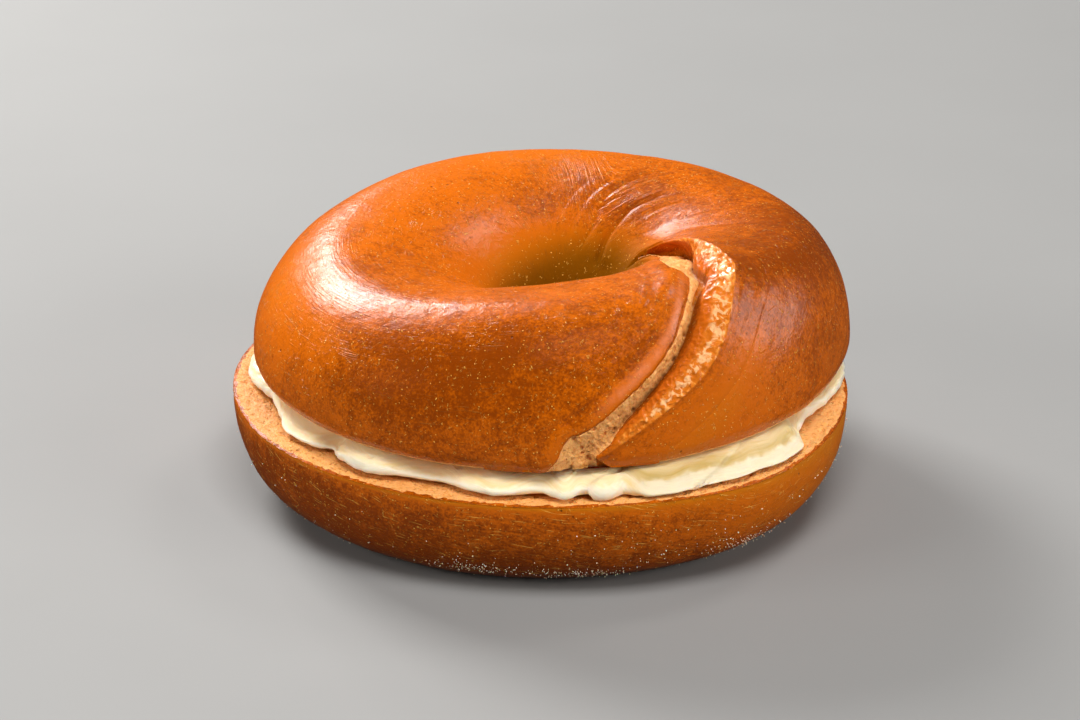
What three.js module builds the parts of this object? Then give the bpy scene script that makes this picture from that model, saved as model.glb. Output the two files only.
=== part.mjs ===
import * as THREE from 'three';

// A plain glossy bagel, cut level through the middle and closed again over a layer of pale spread.
// Millimetres, +Z up. It rests on the flat ring under the bottom half, with the origin on the table.
// Ring angles turn round +Z: 0 is +X, -90 is the front with the rope's seam, 90 is the back.

// Bottom half: a flat-bottomed ring, open at the top where the knife went through.
const bottomHalf = {
  columns: 56,
  wallRows: 8,
  cutRows: 3,
  centre: [-0.1, -0.5],
  middleRadius: 38.8, // the line that the underside is lowest along
  outerRadius: 55.4, // widest, just under the cut
  holeRadius: 9,
  holeShift: [3.6, 2.2], // the hole sits off the ring's middle
  widestHeight: 17.3,
  cutHeight: 18.6,
  roundness: 2.24, // 2 is an ellipse, more is squarer
  restOutside: 5.5, // how far the flat that touches the table reaches outside the lowest line
  outerWaves: [[2, -0.16, -0.7], [3, -0.28, -0.47]], // lobes round the ring, cosine, sine
  bulge: 1.6, // the front right is fuller by this
  bulgeAt: -50,
  bulgeWidth: 18, // degrees
};

// Top half: a domed ring, set a little off the bottom one, with the rope's overlapping end across it.
const topHalf = {
  columns: 72,
  domeRows: 28,
  cutRows: 4,
  centre: [1.95, 1.4],
  middleRadius: 38.6, // the crest
  outerRadius: 54.1,
  holeRadius: 8.7,
  cutHeight: 23.4,
  widestHeight: 2.4, // above the cut
  domeHeight: 20.9, // above the widest line
  roundness: 1.96,
  undercut: 22, // degrees of the profile below its widest line
  outerWaves: [[2, -0.35, 1.15], [3, -0.18, 0.48]],
  crestWaves: [[1, 1.99, 0.66]],
  heightWaves: [[1, 1.59, -0.73], [2, -0.99, -1.23]],
  seamCrowding: 0.72, // how much closer the columns stand at the seam
};

// Spread: one uneven layer between the two cut faces, with a lobed edge.
const spread = {
  columns: 72,
  centre: [0.8, 0.2],
  holeRadius: 13.5,
  holeShift: [3.2, 2],
  reach: 52.4,
  edgeHeight: 2.5, // how thick the edge is
  edgeRound: 1.1,
  slopeWidth: 7, // the top rises to the upper cut over this width
  clearance: 0.3, // to each cut face
  // angle round the ring, width in degrees, reach in mm, rise of the edge in mm
  lobes: [
    [-178, 7, 0.9, 0.3], [-162, 8, -2.1, 0.4], [-146, 5, 0.8, -0.6], [-136.5, 2.5, -2.0, -0.9],
    [-126, 7, 1.7, 0.9], [-112.5, 5, -1.4, -0.7], [-99, 5, 1.8, 0.0], [-87, 2.6, 2.3, 0.0],
    [-80, 3.2, 2.0, 0.3], [-48, 10, 0.8, 0.5], [-25, 9, -1.8, 0.4], [-3, 8, 0.9, 0.5],
    [22, 12, 1.2, 0.6], [48, 9, -1.3, -0.2], [71, 10, 0.6, 0.5], [97, 9, -1.0, -0.3],
    [122, 11, 1.0, 0.6], [149, 9, -1.2, 0.2],
  ],
  // on the front right it is smeared over the rim and fills the gap up to the top half
  smear: { from: -77, to: -31.5, reach: 3.4, rise: -1.3, slope: 4.6, startWidth: 6, endWidth: 7 },
};

// The seam where the rope's two ends overlap: how it runs round the ring against the profile angle.
const seam = {
  atWidest: -83.6, // ring angle where the seam meets the widest line
  drift: 0.4, // degrees round the ring for each degree up the profile
  turn: 56, // the quick turn round the hole's shoulder
  turnAt: 126,
  turnWidth: 6,
  bow: 3.4,
  bowAt: 40,
  bowWidth: 24,
  endAt: 150, // the seam dies out down the hole's wall
  fade: 4.5, // the section grows from nothing over this, in mm
  samples: 240,
  // how far the section reaches beyond the tongue's edge line and beyond the lip: at the start, later
  skinReach: [4.5, 9],
  lipReach: [6, 11],
  reachGrows: [8, 12], // where that begins to grow and over how long
};

// The section across the seam, measured every few mm along it from the hole outward. On the tongue's
// side there is the line where its skin ends, a smooth band and the edge of its crust. Then come the
// torn face, the crevice, the foot of the other end's band, and the lip at its top.
const seamShape = {
  run: [0, 5, 9, 13, 20, 26, 36, 43, 50, 55, 61, 66, 73, 80, 86, 89, 92],
  skinEdge: [-1.5, -1.7, -2.9, -4, -4.9, -5.5, -6.3, -6.9, -5.8, -5.3, -5.5, -5.9, -6.3, -6.7, -7.1,
    -7.8, -11],
  skinHeight: [0.5, 0.8, 0.9, 1, 1.1, 1.1, 1, 1, 1, 0.9, 0.6, 0.4, 0.3, 0.25, 0.2, 0.2, 0.3],
  groove: [0, 0, 0, 0, 0, 0, 0, 0, 0.05, 0.1, 0.25, 0.35, 0.35, 0.3, 0.25, 0.1, 0],
  bandHeight: [0.4, 0.6, 0.7, 0.75, 0.7, 0.6, 0.5, 0.45, 0.35, 0.3, 0.45, 0.6, 0.7, 0.7, 0.7, 0.7, 0.8],
  crustEdge: [-1.3, -1.4, -2.3, -3.3, -4.2, -4.7, -5.3, -4.9, -3, -2.5, -2.9, -2.95, -3, -3.4, -3.8,
    -4.8, -8.6],
  edgeHeight: [0.2, 0.4, 0.4, 0.3, 0.1, 0, -0.1, -0.2, -0.5, -0.6, -0.1, 0.3, 0.5, 0.5, 0.5, 0.5, 0.6],
  crevice: [-1.1, -0.9, 0.4, 0.5, 0.2, 0, -0.6, -0.9, -0.8, -0.2, 0, 0, 0, 0, 0, 0, 0],
  depth: [0.3, 0.7, 1.9, 2.4, 2.7, 2.8, 2.8, 2.8, 2.8, 2.9, 2.9, 2.8, 2.6, 2.2, 2, 2.2, 2.8],
  foot: [-0.9, -0.7, 0.8, 1.2, 1, 0.7, 0.1, -0.3, 0.2, 0.7, 0.95, 0.6, 0.7, 0.9, 0.8, 0.7, 0.9],
  footHeight: [0, -0.3, -0.8, -1, -0.9, -0.8, -0.6, -0.6, -0.6, -0.8, -1.1, -1.2, -1, -1, -1.2, -1.6,
    -2.3],
  lip: [-0.8, -1.1, -0.8, -0.3, 1, 2.4, 3.6, 3.5, 4.6, 5, 5.2, 4.5, 3.5, 2.3, 1.5, 1.2, 1.8],
  lipHeight: [0.4, 1, 1.4, 1.7, 1.8, 1.8, 1.8, 1.8, 1.6, 1.5, 1.2, 0.9, 0.35, 0, -0.5, -1, -2],
};

const degrees = THREE.MathUtils.degToRad;
const clamp01 = (value) => THREE.MathUtils.clamp(value, 0, 1);

// Sum of slow waves round the ring, which makes it as lopsided as a hand-rolled one.
function waves(list, angle) {
  return list.reduce((sum, [lobes, cosine, sine]) => (
    sum + cosine * Math.cos(lobes * angle) + sine * Math.sin(lobes * angle)
  ), 0);
}

// Eases from 0 to 1 while the value goes from 0 to 1.
function easeStep(value) {
  return THREE.MathUtils.smoothstep(value, 0, 1);
}

// A bell round the ring, which is one at an angle and falls off over a width, both in degrees.
function nearness(angle, at, width) {
  const wholeTurn = 2 * Math.PI;
  const apart = THREE.MathUtils.euclideanModulo(angle - degrees(at) + Math.PI, wholeTurn) - Math.PI;
  return Math.exp(-((apart / degrees(width)) ** 2));
}

// A value read off straight legs between stations.
function readOff(stations, values, place) {
  let after = 1;
  while (after < stations.length - 1 && stations[after] < place) {
    after += 1;
  }
  const share = clamp01((place - stations[after - 1]) / (stations[after] - stations[after - 1]));
  return THREE.MathUtils.lerp(values[after - 1], values[after], share);
}

// A signed power, for the sides of a rounded-square profile.
function signedPower(value, power) {
  return Math.sign(value) * Math.abs(value) ** power;
}

// Closes a grid of points on itself both ways, so that it is one ring-shaped solid.
// Columns run round the ring and rows run round its profile, outside to top to hole to cut.
function ringSolid(columns, rows, pointAt) {
  const positions = [];
  for (let column = 0; column < columns; column += 1) {
    for (let row = 0; row < rows; row += 1) {
      positions.push(...pointAt(column, row));
    }
  }
  const indices = [];
  for (let column = 0; column < columns; column += 1) {
    const nextColumn = (column + 1) % columns;
    for (let row = 0; row < rows; row += 1) {
      const nextRow = (row + 1) % rows;
      const corner = column * rows + row;
      const beside = nextColumn * rows + row;
      const above = column * rows + nextRow;
      const across = nextColumn * rows + nextRow;
      indices.push(corner, beside, across, corner, across, above);
    }
  }
  const geometry = new THREE.BufferGeometry();
  geometry.setAttribute('position', new THREE.Float32BufferAttribute(positions, 3));
  geometry.setIndex(indices);
  geometry.computeVertexNormals();
  return geometry;
}

// Top half, without its seam. The profile angle is 0 at the widest line, 90 degrees on the crest
// and 180 on the hole's wall, with the undercut below each side.
function domePoint(ringAngle, profileAngle) {
  const { middleRadius, outerRadius, holeRadius, roundness, widestHeight, domeHeight } = topHalf;
  const power = 2 / roundness;
  const outside = Math.cos(profileAngle) > 0;
  const halfWidth = outside ? outerRadius - middleRadius : middleRadius - holeRadius;
  const radius = middleRadius + halfWidth * signedPower(Math.cos(profileAngle), power);
  const below = widestHeight / Math.sin(degrees(topHalf.undercut)) ** power;
  const rise = Math.sin(profileAngle) > 0 ? domeHeight : below;
  const height = widestHeight + rise * signedPower(Math.sin(profileAngle), power);
  const outerShare = clamp01((radius - middleRadius) / (outerRadius - middleRadius));
  const heightShare = clamp01(height / (domeHeight + widestHeight));
  const radiusHere = radius
    + outerShare * waves(topHalf.outerWaves, ringAngle)
    + (1 - outerShare) * waves(topHalf.crestWaves, ringAngle);
  const heightHere = height + heightShare * waves(topHalf.heightWaves, ringAngle);
  return new THREE.Vector3(
    topHalf.centre[0] + radiusHere * Math.cos(ringAngle),
    topHalf.centre[1] + radiusHere * Math.sin(ringAngle),
    topHalf.cutHeight + Math.max(heightHere, 0),
  );
}

// Outward direction of the dome, from two small steps along it.
function domeNormal(ringAngle, profileAngle) {
  const step = 1e-4;
  const around = domePoint(ringAngle + step, profileAngle).sub(domePoint(ringAngle - step, profileAngle));
  const upward = domePoint(ringAngle, profileAngle + step).sub(domePoint(ringAngle, profileAngle - step));
  return around.cross(upward).normalize();
}

// Ring angle of the seam at a profile angle: a straight drift above the widest line, a quick turn and
// a slight bow.
function seamAngle(profileAngle) {
  const here = THREE.MathUtils.radToDeg(profileAngle);
  const turned = seam.turn / (1 + Math.exp((seam.turnAt - here) / seam.turnWidth));
  const bowed = seam.bow * Math.exp(-(((here - seam.bowAt) / seam.bowWidth) ** 2));
  return degrees(seam.atWidest + seam.drift * Math.max(here, 0) + turned + bowed);
}

// The seam as points along the dome, with the length run so far, from the hole outward.
function seamLine() {
  const first = degrees(seam.endAt);
  const last = degrees(-topHalf.undercut);
  const line = [];
  for (let index = 0; index <= seam.samples; index += 1) {
    const profileAngle = first + (last - first) * (index / seam.samples);
    const point = domePoint(seamAngle(profileAngle), profileAngle);
    const before = line[index - 1];
    const run = before ? before.run + before.point.distanceTo(point) : 0;
    line.push({ point, run });
  }
  return line;
}

const seamPoints = seamLine();

// Where a point of the dome lies against the seam: its distance, positive on the lip's side, and the
// length run at the nearest place.
function besideSeam(point, normal) {
  let nearest = 0;
  let least = Infinity;
  seamPoints.forEach((sample, index) => {
    const distance = sample.point.distanceTo(point);
    if (distance < least) {
      least = distance;
      nearest = index;
    }
  });
  const from = seamPoints[Math.max(nearest - 1, 0)].point;
  const to = seamPoints[Math.min(nearest + 1, seamPoints.length - 1)].point;
  const along = to.clone().sub(from).normalize();
  const lipSide = normal.clone().cross(along);
  const side = point.clone().sub(seamPoints[nearest].point).dot(lipSide);
  return { distance: Math.sign(side) * least, run: seamPoints[nearest].run };
}

// One measure of the section, smoothed over a few mm of the seam.
function seamRow(run, key) {
  const nudges = [-3, -1.5, 0, 1.5, 3];
  const sum = nudges.reduce((total, nudge) => (
    total + readOff(seamShape.run, seamShape[key], run + nudge)
  ), 0);
  return sum / nudges.length;
}

function seamReach(run, [start, later]) {
  return THREE.MathUtils.lerp(start, later, easeStep((run - seam.reachGrows[0]) / seam.reachGrows[1]));
}

// The section's corners at a place along the seam, as pairs of distance and height in mm, from the
// tongue's flank over its edge into the crevice, up to the lip and out over its flank.
function seamSection(run) {
  const keys = Object.keys(seamShape).filter((key) => key !== 'run');
  const row = Object.fromEntries(keys.map((key) => [key, seamRow(run, key)]));
  const { skinEdge, skinHeight, bandHeight, crustEdge, edgeHeight, crevice, depth } = row;
  const { foot, footHeight, lip, lipHeight } = row;
  const skinReach = seamReach(run, seam.skinReach);
  const lipReach = seamReach(run, seam.lipReach);
  return [
    [skinEdge - skinReach, 0],
    [skinEdge - 0.61 * skinReach, 0.2 * skinHeight],
    [skinEdge - 0.29 * skinReach, 0.65 * skinHeight],
    [skinEdge - 0.7, skinHeight],
    [skinEdge, 0.92 * skinHeight - row.groove],
    [skinEdge + 0.6, (skinHeight + bandHeight) / 2],
    [(skinEdge + crustEdge) / 2, bandHeight],
    [crustEdge, edgeHeight],
    [(crustEdge + crevice) / 2, -0.45 * depth],
    [crevice - 0.6, -0.92 * depth],
    [crevice, -depth],
    [foot, footHeight],
    [foot + 0.5 * (lip - foot), footHeight + 0.6 * (lipHeight - footHeight)],
    [lip, lipHeight],
    [lip + 1.3, 0.95 * lipHeight],
    [lip + 0.29 * lipReach, 0.62 * lipHeight],
    [lip + 0.59 * lipReach, 0.22 * lipHeight],
    [lip + lipReach, 0],
  ];
}

// Height that the seam adds to the dome: its section followed leg by leg, never turning back.
function seamHeight({ distance, run }) {
  let height = 0;
  let [reached, before] = [-Infinity, 0];
  seamSection(run).forEach(([across, level]) => {
    const to = Math.max(across, reached + 0.02);
    const share = Number.isFinite(reached) ? clamp01((distance - reached) / (to - reached)) : 1;
    height += (level - before) * share;
    reached = to;
    before = level;
  });
  return height * easeStep(run / seam.fade);
}

// The columns of the top half follow the seam where they are close to it, and stand closer there.
function topColumnAngle(share, profileAngle) {
  const wholeTurn = 2 * Math.PI;
  const crowded = share - (topHalf.seamCrowding * Math.sin(wholeTurn * share)) / wholeTurn;
  const nearness = (1 + Math.cos(wholeTurn * crowded)) / 2;
  const middle = (seamAngle(degrees(seam.endAt)) + seamAngle(degrees(-topHalf.undercut))) / 2;
  const seamHere = seamAngle(Math.min(profileAngle, degrees(seam.endAt)));
  return middle + wholeTurn * crowded + (seamHere - middle) * nearness;
}

// A point of the finished top surface. Near the cut the seam only moves it sideways.
function topSurfacePoint(share, profileAngle) {
  const angle = topColumnAngle(share, profileAngle);
  const point = domePoint(angle, profileAngle);
  const normal = domeNormal(angle, profileAngle);
  const height = seamHeight(besideSeam(point, normal));
  const aboveCut = point.z - topHalf.cutHeight;
  normal.z *= clamp01(aboveCut / topHalf.widestHeight);
  return point.addScaledVector(normal, height);
}

// Across the level cut, from the hole's edge back to the outer edge, turning the columns back.
function cutPoint(inner, outer, centre, share) {
  const innerRadius = Math.hypot(inner.x - centre[0], inner.y - centre[1]);
  const outerRadius = Math.hypot(outer.x - centre[0], outer.y - centre[1]);
  const radius = THREE.MathUtils.lerp(innerRadius, outerRadius, share);
  const angle = THREE.MathUtils.lerp(inner.angle, outer.angle, share);
  return [centre[0] + radius * Math.cos(angle), centre[1] + radius * Math.sin(angle)];
}

function makeTopHalf() {
  const { columns, domeRows, cutRows, centre, cutHeight, undercut } = topHalf;
  const first = degrees(-undercut);
  const last = degrees(180 + undercut);
  return ringSolid(columns, domeRows + 1 + cutRows, (column, row) => {
    const share = column / columns;
    if (row <= domeRows) {
      const point = topSurfacePoint(share, first + (last - first) * (row / domeRows));
      return [point.x, point.y, point.z];
    }
    const inner = topSurfacePoint(share, last);
    inner.angle = topColumnAngle(share, last);
    const outer = topSurfacePoint(share, first);
    outer.angle = topColumnAngle(share, first);
    const [x, y] = cutPoint(inner, outer, centre, (row - domeRows) / (cutRows + 1));
    return [x, y, cutHeight];
  });
}

// Bottom half: its profile angle is 0 at the widest line outside, 90 under the middle and 180 in the
// hole. The flat ring underneath comes from cutting the round underside level.
function bottomPoint(ringAngle, profileAngle) {
  const { middleRadius, outerRadius, holeRadius, roundness, widestHeight, holeShift } = bottomHalf;
  const power = 2 / roundness;
  const outside = Math.cos(profileAngle) > 0;
  const halfWidth = outside ? outerRadius - middleRadius : middleRadius - holeRadius;
  const across = signedPower(Math.cos(profileAngle), power);
  const radius = middleRadius + halfWidth * across;
  const restShare = bottomHalf.restOutside / (outerRadius - middleRadius);
  const depthAtRest = (1 - restShare ** roundness) ** (1 / roundness);
  const depth = Math.min(Math.abs(Math.sin(profileAngle)) ** power / depthAtRest, 1);
  const outerShare = clamp01((radius - middleRadius) / (outerRadius - middleRadius));
  const innerShare = clamp01((middleRadius - radius) / (middleRadius - holeRadius));
  const bulge = bottomHalf.bulge * nearness(ringAngle, bottomHalf.bulgeAt, bottomHalf.bulgeWidth);
  const radiusHere = radius + outerShare * (waves(bottomHalf.outerWaves, ringAngle) + bulge);
  return [
    bottomHalf.centre[0] + innerShare * holeShift[0] + radiusHere * Math.cos(ringAngle),
    bottomHalf.centre[1] + innerShare * holeShift[1] + radiusHere * Math.sin(ringAngle),
    widestHeight * (1 - depth),
  ];
}

function makeBottomHalf() {
  const { columns, wallRows, cutRows, cutHeight } = bottomHalf;
  const rows = 2 * wallRows + 2 + cutRows;
  return ringSolid(columns, rows, (column, row) => {
    const ringAngle = 2 * Math.PI * (column / columns);
    const outer = bottomPoint(ringAngle, 0);
    const inner = bottomPoint(ringAngle, Math.PI);
    if (row < cutRows) {
      const share = row / (cutRows - 1);
      const x = THREE.MathUtils.lerp(outer[0], inner[0], share);
      const y = THREE.MathUtils.lerp(outer[1], inner[1], share);
      return [x, y, cutHeight];
    }
    const wallShare = (row - cutRows) / (rows - 1 - cutRows);
    return bottomPoint(ringAngle, Math.PI * (1 - wallShare));
  });
}

// The spread's section runs from the hole along the lower cut, round the edge and back over the top.
function makeSpread() {
  const { columns, centre, holeRadius, holeShift, reach, edgeRound, clearance, smear } = spread;
  const low = bottomHalf.cutHeight + clearance;
  const high = topHalf.cutHeight - clearance;
  const wholeTurn = 2 * Math.PI;
  const sections = Array.from({ length: columns }, (_, column) => {
    const angle = wholeTurn * (column / columns);
    const turned = THREE.MathUtils.euclideanModulo(column / columns + 0.5, 1) * 360 - 180;
    const smeared = easeStep((turned - smear.from) / smear.startWidth)
      * easeStep((smear.to - turned) / smear.endWidth);
    const slope = THREE.MathUtils.lerp(spread.slopeWidth, smear.slope, smeared);
    let edge = reach + smear.reach * smeared;
    let rim = low + spread.edgeHeight + smear.rise * smeared;
    spread.lobes.forEach(([at, width, further, higher]) => {
      edge += further * nearness(angle, at, width);
      rim += higher * nearness(angle, at, width);
    });
    const section = [
      [holeRadius, high], [holeRadius - edgeRound, (low + high) / 2], [holeRadius, low],
      [(holeRadius + edge) / 2, low], [edge - edgeRound, low], [edge, low + edgeRound],
      [edge - edgeRound / 3, rim - edgeRound / 2], [edge - edgeRound, rim],
      [edge - slope / 2, (rim + high) / 2], [edge - slope, high], [(holeRadius + edge) / 2, high],
    ];
    return section.map(([radius, height]) => {
      const nearHole = 1 - clamp01((radius - holeRadius) / (edge - holeRadius));
      return [
        centre[0] + nearHole * holeShift[0] + radius * Math.cos(angle),
        centre[1] + nearHole * holeShift[1] + radius * Math.sin(angle),
        height,
      ];
    });
  });
  return ringSolid(columns, sections[0].length, (column, row) => sections[column][row]);
}

function named(name, geometry, color, roughness) {
  const material = new THREE.MeshStandardMaterial({ color, roughness, metalness: 0 });
  const mesh = new THREE.Mesh(geometry, material);
  mesh.name = name;
  return mesh;
}

const bagel = new THREE.Group();
bagel.add(
  named('bottom_half', makeBottomHalf(), 0x8a430b, 0.45),
  named('spread', makeSpread(), 0xf0deb4, 0.4),
  named('top_half', makeTopHalf(), 0xc4661b, 0.35),
);

export default bagel;
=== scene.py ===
import math

import bpy
import numpy as np
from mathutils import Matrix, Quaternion, Vector


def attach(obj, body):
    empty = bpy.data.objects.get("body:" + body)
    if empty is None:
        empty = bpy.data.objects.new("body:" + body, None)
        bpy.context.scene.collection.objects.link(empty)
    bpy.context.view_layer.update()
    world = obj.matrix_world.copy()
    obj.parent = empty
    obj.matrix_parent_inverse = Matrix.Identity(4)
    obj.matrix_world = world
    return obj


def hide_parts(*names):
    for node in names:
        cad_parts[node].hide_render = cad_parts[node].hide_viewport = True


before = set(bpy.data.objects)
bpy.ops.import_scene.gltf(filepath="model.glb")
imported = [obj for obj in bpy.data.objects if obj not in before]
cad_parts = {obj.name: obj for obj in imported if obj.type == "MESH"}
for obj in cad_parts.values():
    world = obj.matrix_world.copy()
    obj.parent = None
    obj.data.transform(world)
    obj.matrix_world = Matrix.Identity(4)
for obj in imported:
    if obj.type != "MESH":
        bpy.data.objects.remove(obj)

# A glossy filled bagel: bottom half, spread and top half, with flour grains on its side.
# Everything is worked out in millimetres and put into the meshes in metres.
# Ring angles turn round +Z: 0 is the right side, -90 the front, 90 the back.
# Profile angles: 0 is the widest line outside, 90 the crest and 180 the hole's wall.

mm = 0.001
wholeTurn = 2 * math.pi
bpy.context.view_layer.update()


def clamp01(value):
    return np.clip(value, 0.0, 1.0)


def easeStep(value):
    part = clamp01(value)
    return part * part * (3 - 2 * part)


def band(value, start, end, rise, fall):
    # 1 between start and end, eased up over rise and down over fall, both inside the range
    return easeStep((value - start) / rise) * easeStep((end - value) / fall)


def bell(value):
    return np.exp(-value * value)


def signedPower(value, power):
    return np.sign(value) * np.abs(value) ** power


def waves(wanted, angle):
    # a sum of slow waves round the ring, each given as lobes, cosine and sine
    return sum(c * np.cos(k * angle) + s * np.sin(k * angle) for k, c, s in wanted)


def turnedApart(angle, other):
    # the shorter way round from one angle to another
    return (angle - other + math.pi) % wholeTurn - math.pi


def ringSpot(ring, at, width):
    # 1 at one ring angle, given in degrees, fading round it over a width in radians
    return bell(turnedApart(ring, math.radians(at)) / width)


def runFrom(points, axis):
    # how far each point of a line lies from its first one, along the line
    steps = np.linalg.norm(np.diff(points, axis=axis), axis=-1)
    first = np.zeros_like(np.take(steps, [0], axis))
    return np.concatenate([first, np.cumsum(steps, axis=axis)], axis)


def unit(vectors):
    return vectors / (np.linalg.norm(vectors, axis=-1, keepdims=True) + 1e-12)


def ringPoints(centre, radius, ring, height):
    return np.stack([centre[0] + radius * np.cos(ring), centre[1] + radius * np.sin(ring), height], -1)


def surfaceNormals(surface, ring, profile, step=1e-4):
    # normals of a surface given by ring and profile angles, from small steps both ways
    around = surface(ring + step, profile) - surface(ring - step, profile)
    upward = surface(ring, profile + step) - surface(ring, profile - step)
    return unit(np.cross(around, upward))


def crowdedSteps(places, density, count, closed=False):
    # count places between the ends of a range, standing closer where the density is higher
    fine = np.linspace(places[0], places[-1], 4000)
    running = np.cumsum(np.interp(fine, places, density))
    running = (running - running[0]) / (running[-1] - running[0])
    return np.interp(np.linspace(0, 1, count, endpoint=not closed), running, fine)


def cellNumber(cells, seed):
    # a repeatable number from 0 to 1 for each whole-number cell, by mixing its coordinates
    whole = cells.astype(np.int64)
    mixed = whole[..., 0] * 73856093 ^ whole[..., 1] * 19349663 ^ whole[..., 2] * 83492791
    mixed = (mixed ^ (seed * 668265263 + 374761393)) & 0xFFFFFFFF
    mixed = ((mixed ^ (mixed >> 13)) * 1274126177) & 0xFFFFFFFF
    mixed = ((mixed ^ (mixed >> 15)) * 668265263) & 0xFFFFFFFF
    return ((mixed ^ (mixed >> 16)) & 0xFFFFFF) / 0xFFFFFF


def softNoise(points, size, seed=0, layers=1, gain=0.5):
    # smooth lumps from -1 to 1 about size mm across; each further layer is half as big
    total, weight, whole = 0.0, 1.0, 0.0
    for layer in range(layers):
        place = points / size * 2 ** layer + 11.37 * layer
        base = np.floor(place)
        part = place - base
        part = part * part * (3 - 2 * part)
        value = 0.0
        for corner in range(8):
            step = np.array([corner & 1, corner >> 1 & 1, corner >> 2])
            share = np.prod(np.where(step, part, 1 - part), axis=-1)
            value = value + share * cellNumber(base + step, seed + layer)
        total = total + weight * (2 * value - 1)
        whole += weight
        weight *= gain
    return total / whole


def cellPits(points, size, seed=0):
    # distance to the nearest of one random centre for each cell, in cells
    place = points / size
    base = np.floor(place)
    nearest = np.full(place.shape[:-1], 9.0)
    for index in range(27):
        cell = base + np.array([index % 3 - 1, index // 3 % 3 - 1, index // 9 - 1])
        centre = cell + np.stack([cellNumber(cell, seed + axis) for axis in range(3)], -1)
        nearest = np.minimum(nearest, np.linalg.norm(centre - place, axis=-1))
    return nearest


def closedSpline(corners, places):
    # a smooth closed curve steered by its corner points, which run along the second axis
    count = corners.shape[1]
    whole = np.floor(places).astype(int)
    part = places - whole
    weights = [(1 - part) ** 3, 3 * part ** 3 - 6 * part ** 2 + 4,
               -3 * part ** 3 + 3 * part ** 2 + 3 * part + 1, part ** 3]
    return sum(weight[None, :, None] / 6 * corners[:, (whole + step - 1) % count]
               for step, weight in enumerate(weights))


def ringFaces(columns, rows):
    # quads of a grid that closes on itself both ways
    column, row = np.meshgrid(np.arange(columns), np.arange(rows), indexing="ij")
    beside, above = (column + 1) % columns, (row + 1) % rows
    corners = [column * rows + row, beside * rows + row, beside * rows + above, column * rows + above]
    return np.stack(corners, -1).reshape(-1, 4)


def gridNormals(points):
    around = np.roll(points, -1, 0) - np.roll(points, 1, 0)
    upward = np.roll(points, -1, 1) - np.roll(points, 1, 1)
    return unit(np.cross(around, upward))


def makePiece(name, points, faces, material, replaced=None, attributes=None):
    # points in mm; attributes are numbers or vectors for each point, read by the material
    mesh = bpy.data.meshes.new(name)
    mesh.vertices.add(len(points))
    mesh.vertices.foreach_set("co", (points * mm).astype(np.float32).ravel())
    mesh.loops.add(faces.size)
    mesh.loops.foreach_set("vertex_index", faces.astype(np.int32).ravel())
    mesh.polygons.add(len(faces))
    mesh.polygons.foreach_set("loop_start", np.arange(0, faces.size, faces.shape[1], dtype=np.int32))
    mesh.polygons.foreach_set("use_smooth", np.ones(len(faces), bool))
    mesh.update(calc_edges=True)
    for key, values in (attributes or {}).items():
        vector = values.ndim == 2
        layer = mesh.attributes.new(key, "FLOAT_VECTOR" if vector else "FLOAT", "POINT")
        layer.data.foreach_set("vector" if vector else "value", values.astype(np.float32).ravel())
    mesh.validate()
    mesh.materials.append(material)
    piece = bpy.data.objects.new(name, mesh)
    bpy.context.scene.collection.objects.link(piece)
    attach(piece, "root")
    if replaced:
        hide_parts(replaced)
    print(name, len(points), "points", len(faces), "faces")


class Value:
    # one output socket, so that sums on shader values are written as plain expressions
    def __init__(self, recipe, socket):
        self.recipe, self.socket = recipe, socket

    def combine(self, operation, first, second=0.0):
        values = {0: first, 1: second}
        return self.recipe.node("ShaderNodeMath", {"operation": operation}, values)

    def __add__(self, other):
        return self.combine("ADD", self, other)

    def __radd__(self, other):
        return self.combine("ADD", other, self)

    def __sub__(self, other):
        return self.combine("SUBTRACT", self, other)

    def __rsub__(self, other):
        return self.combine("SUBTRACT", other, self)

    def __mul__(self, other):
        return self.combine("MULTIPLY", self, other)

    def __rmul__(self, other):
        return self.combine("MULTIPLY", other, self)

    def __abs__(self):
        return self.combine("ABSOLUTE", self)


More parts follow.
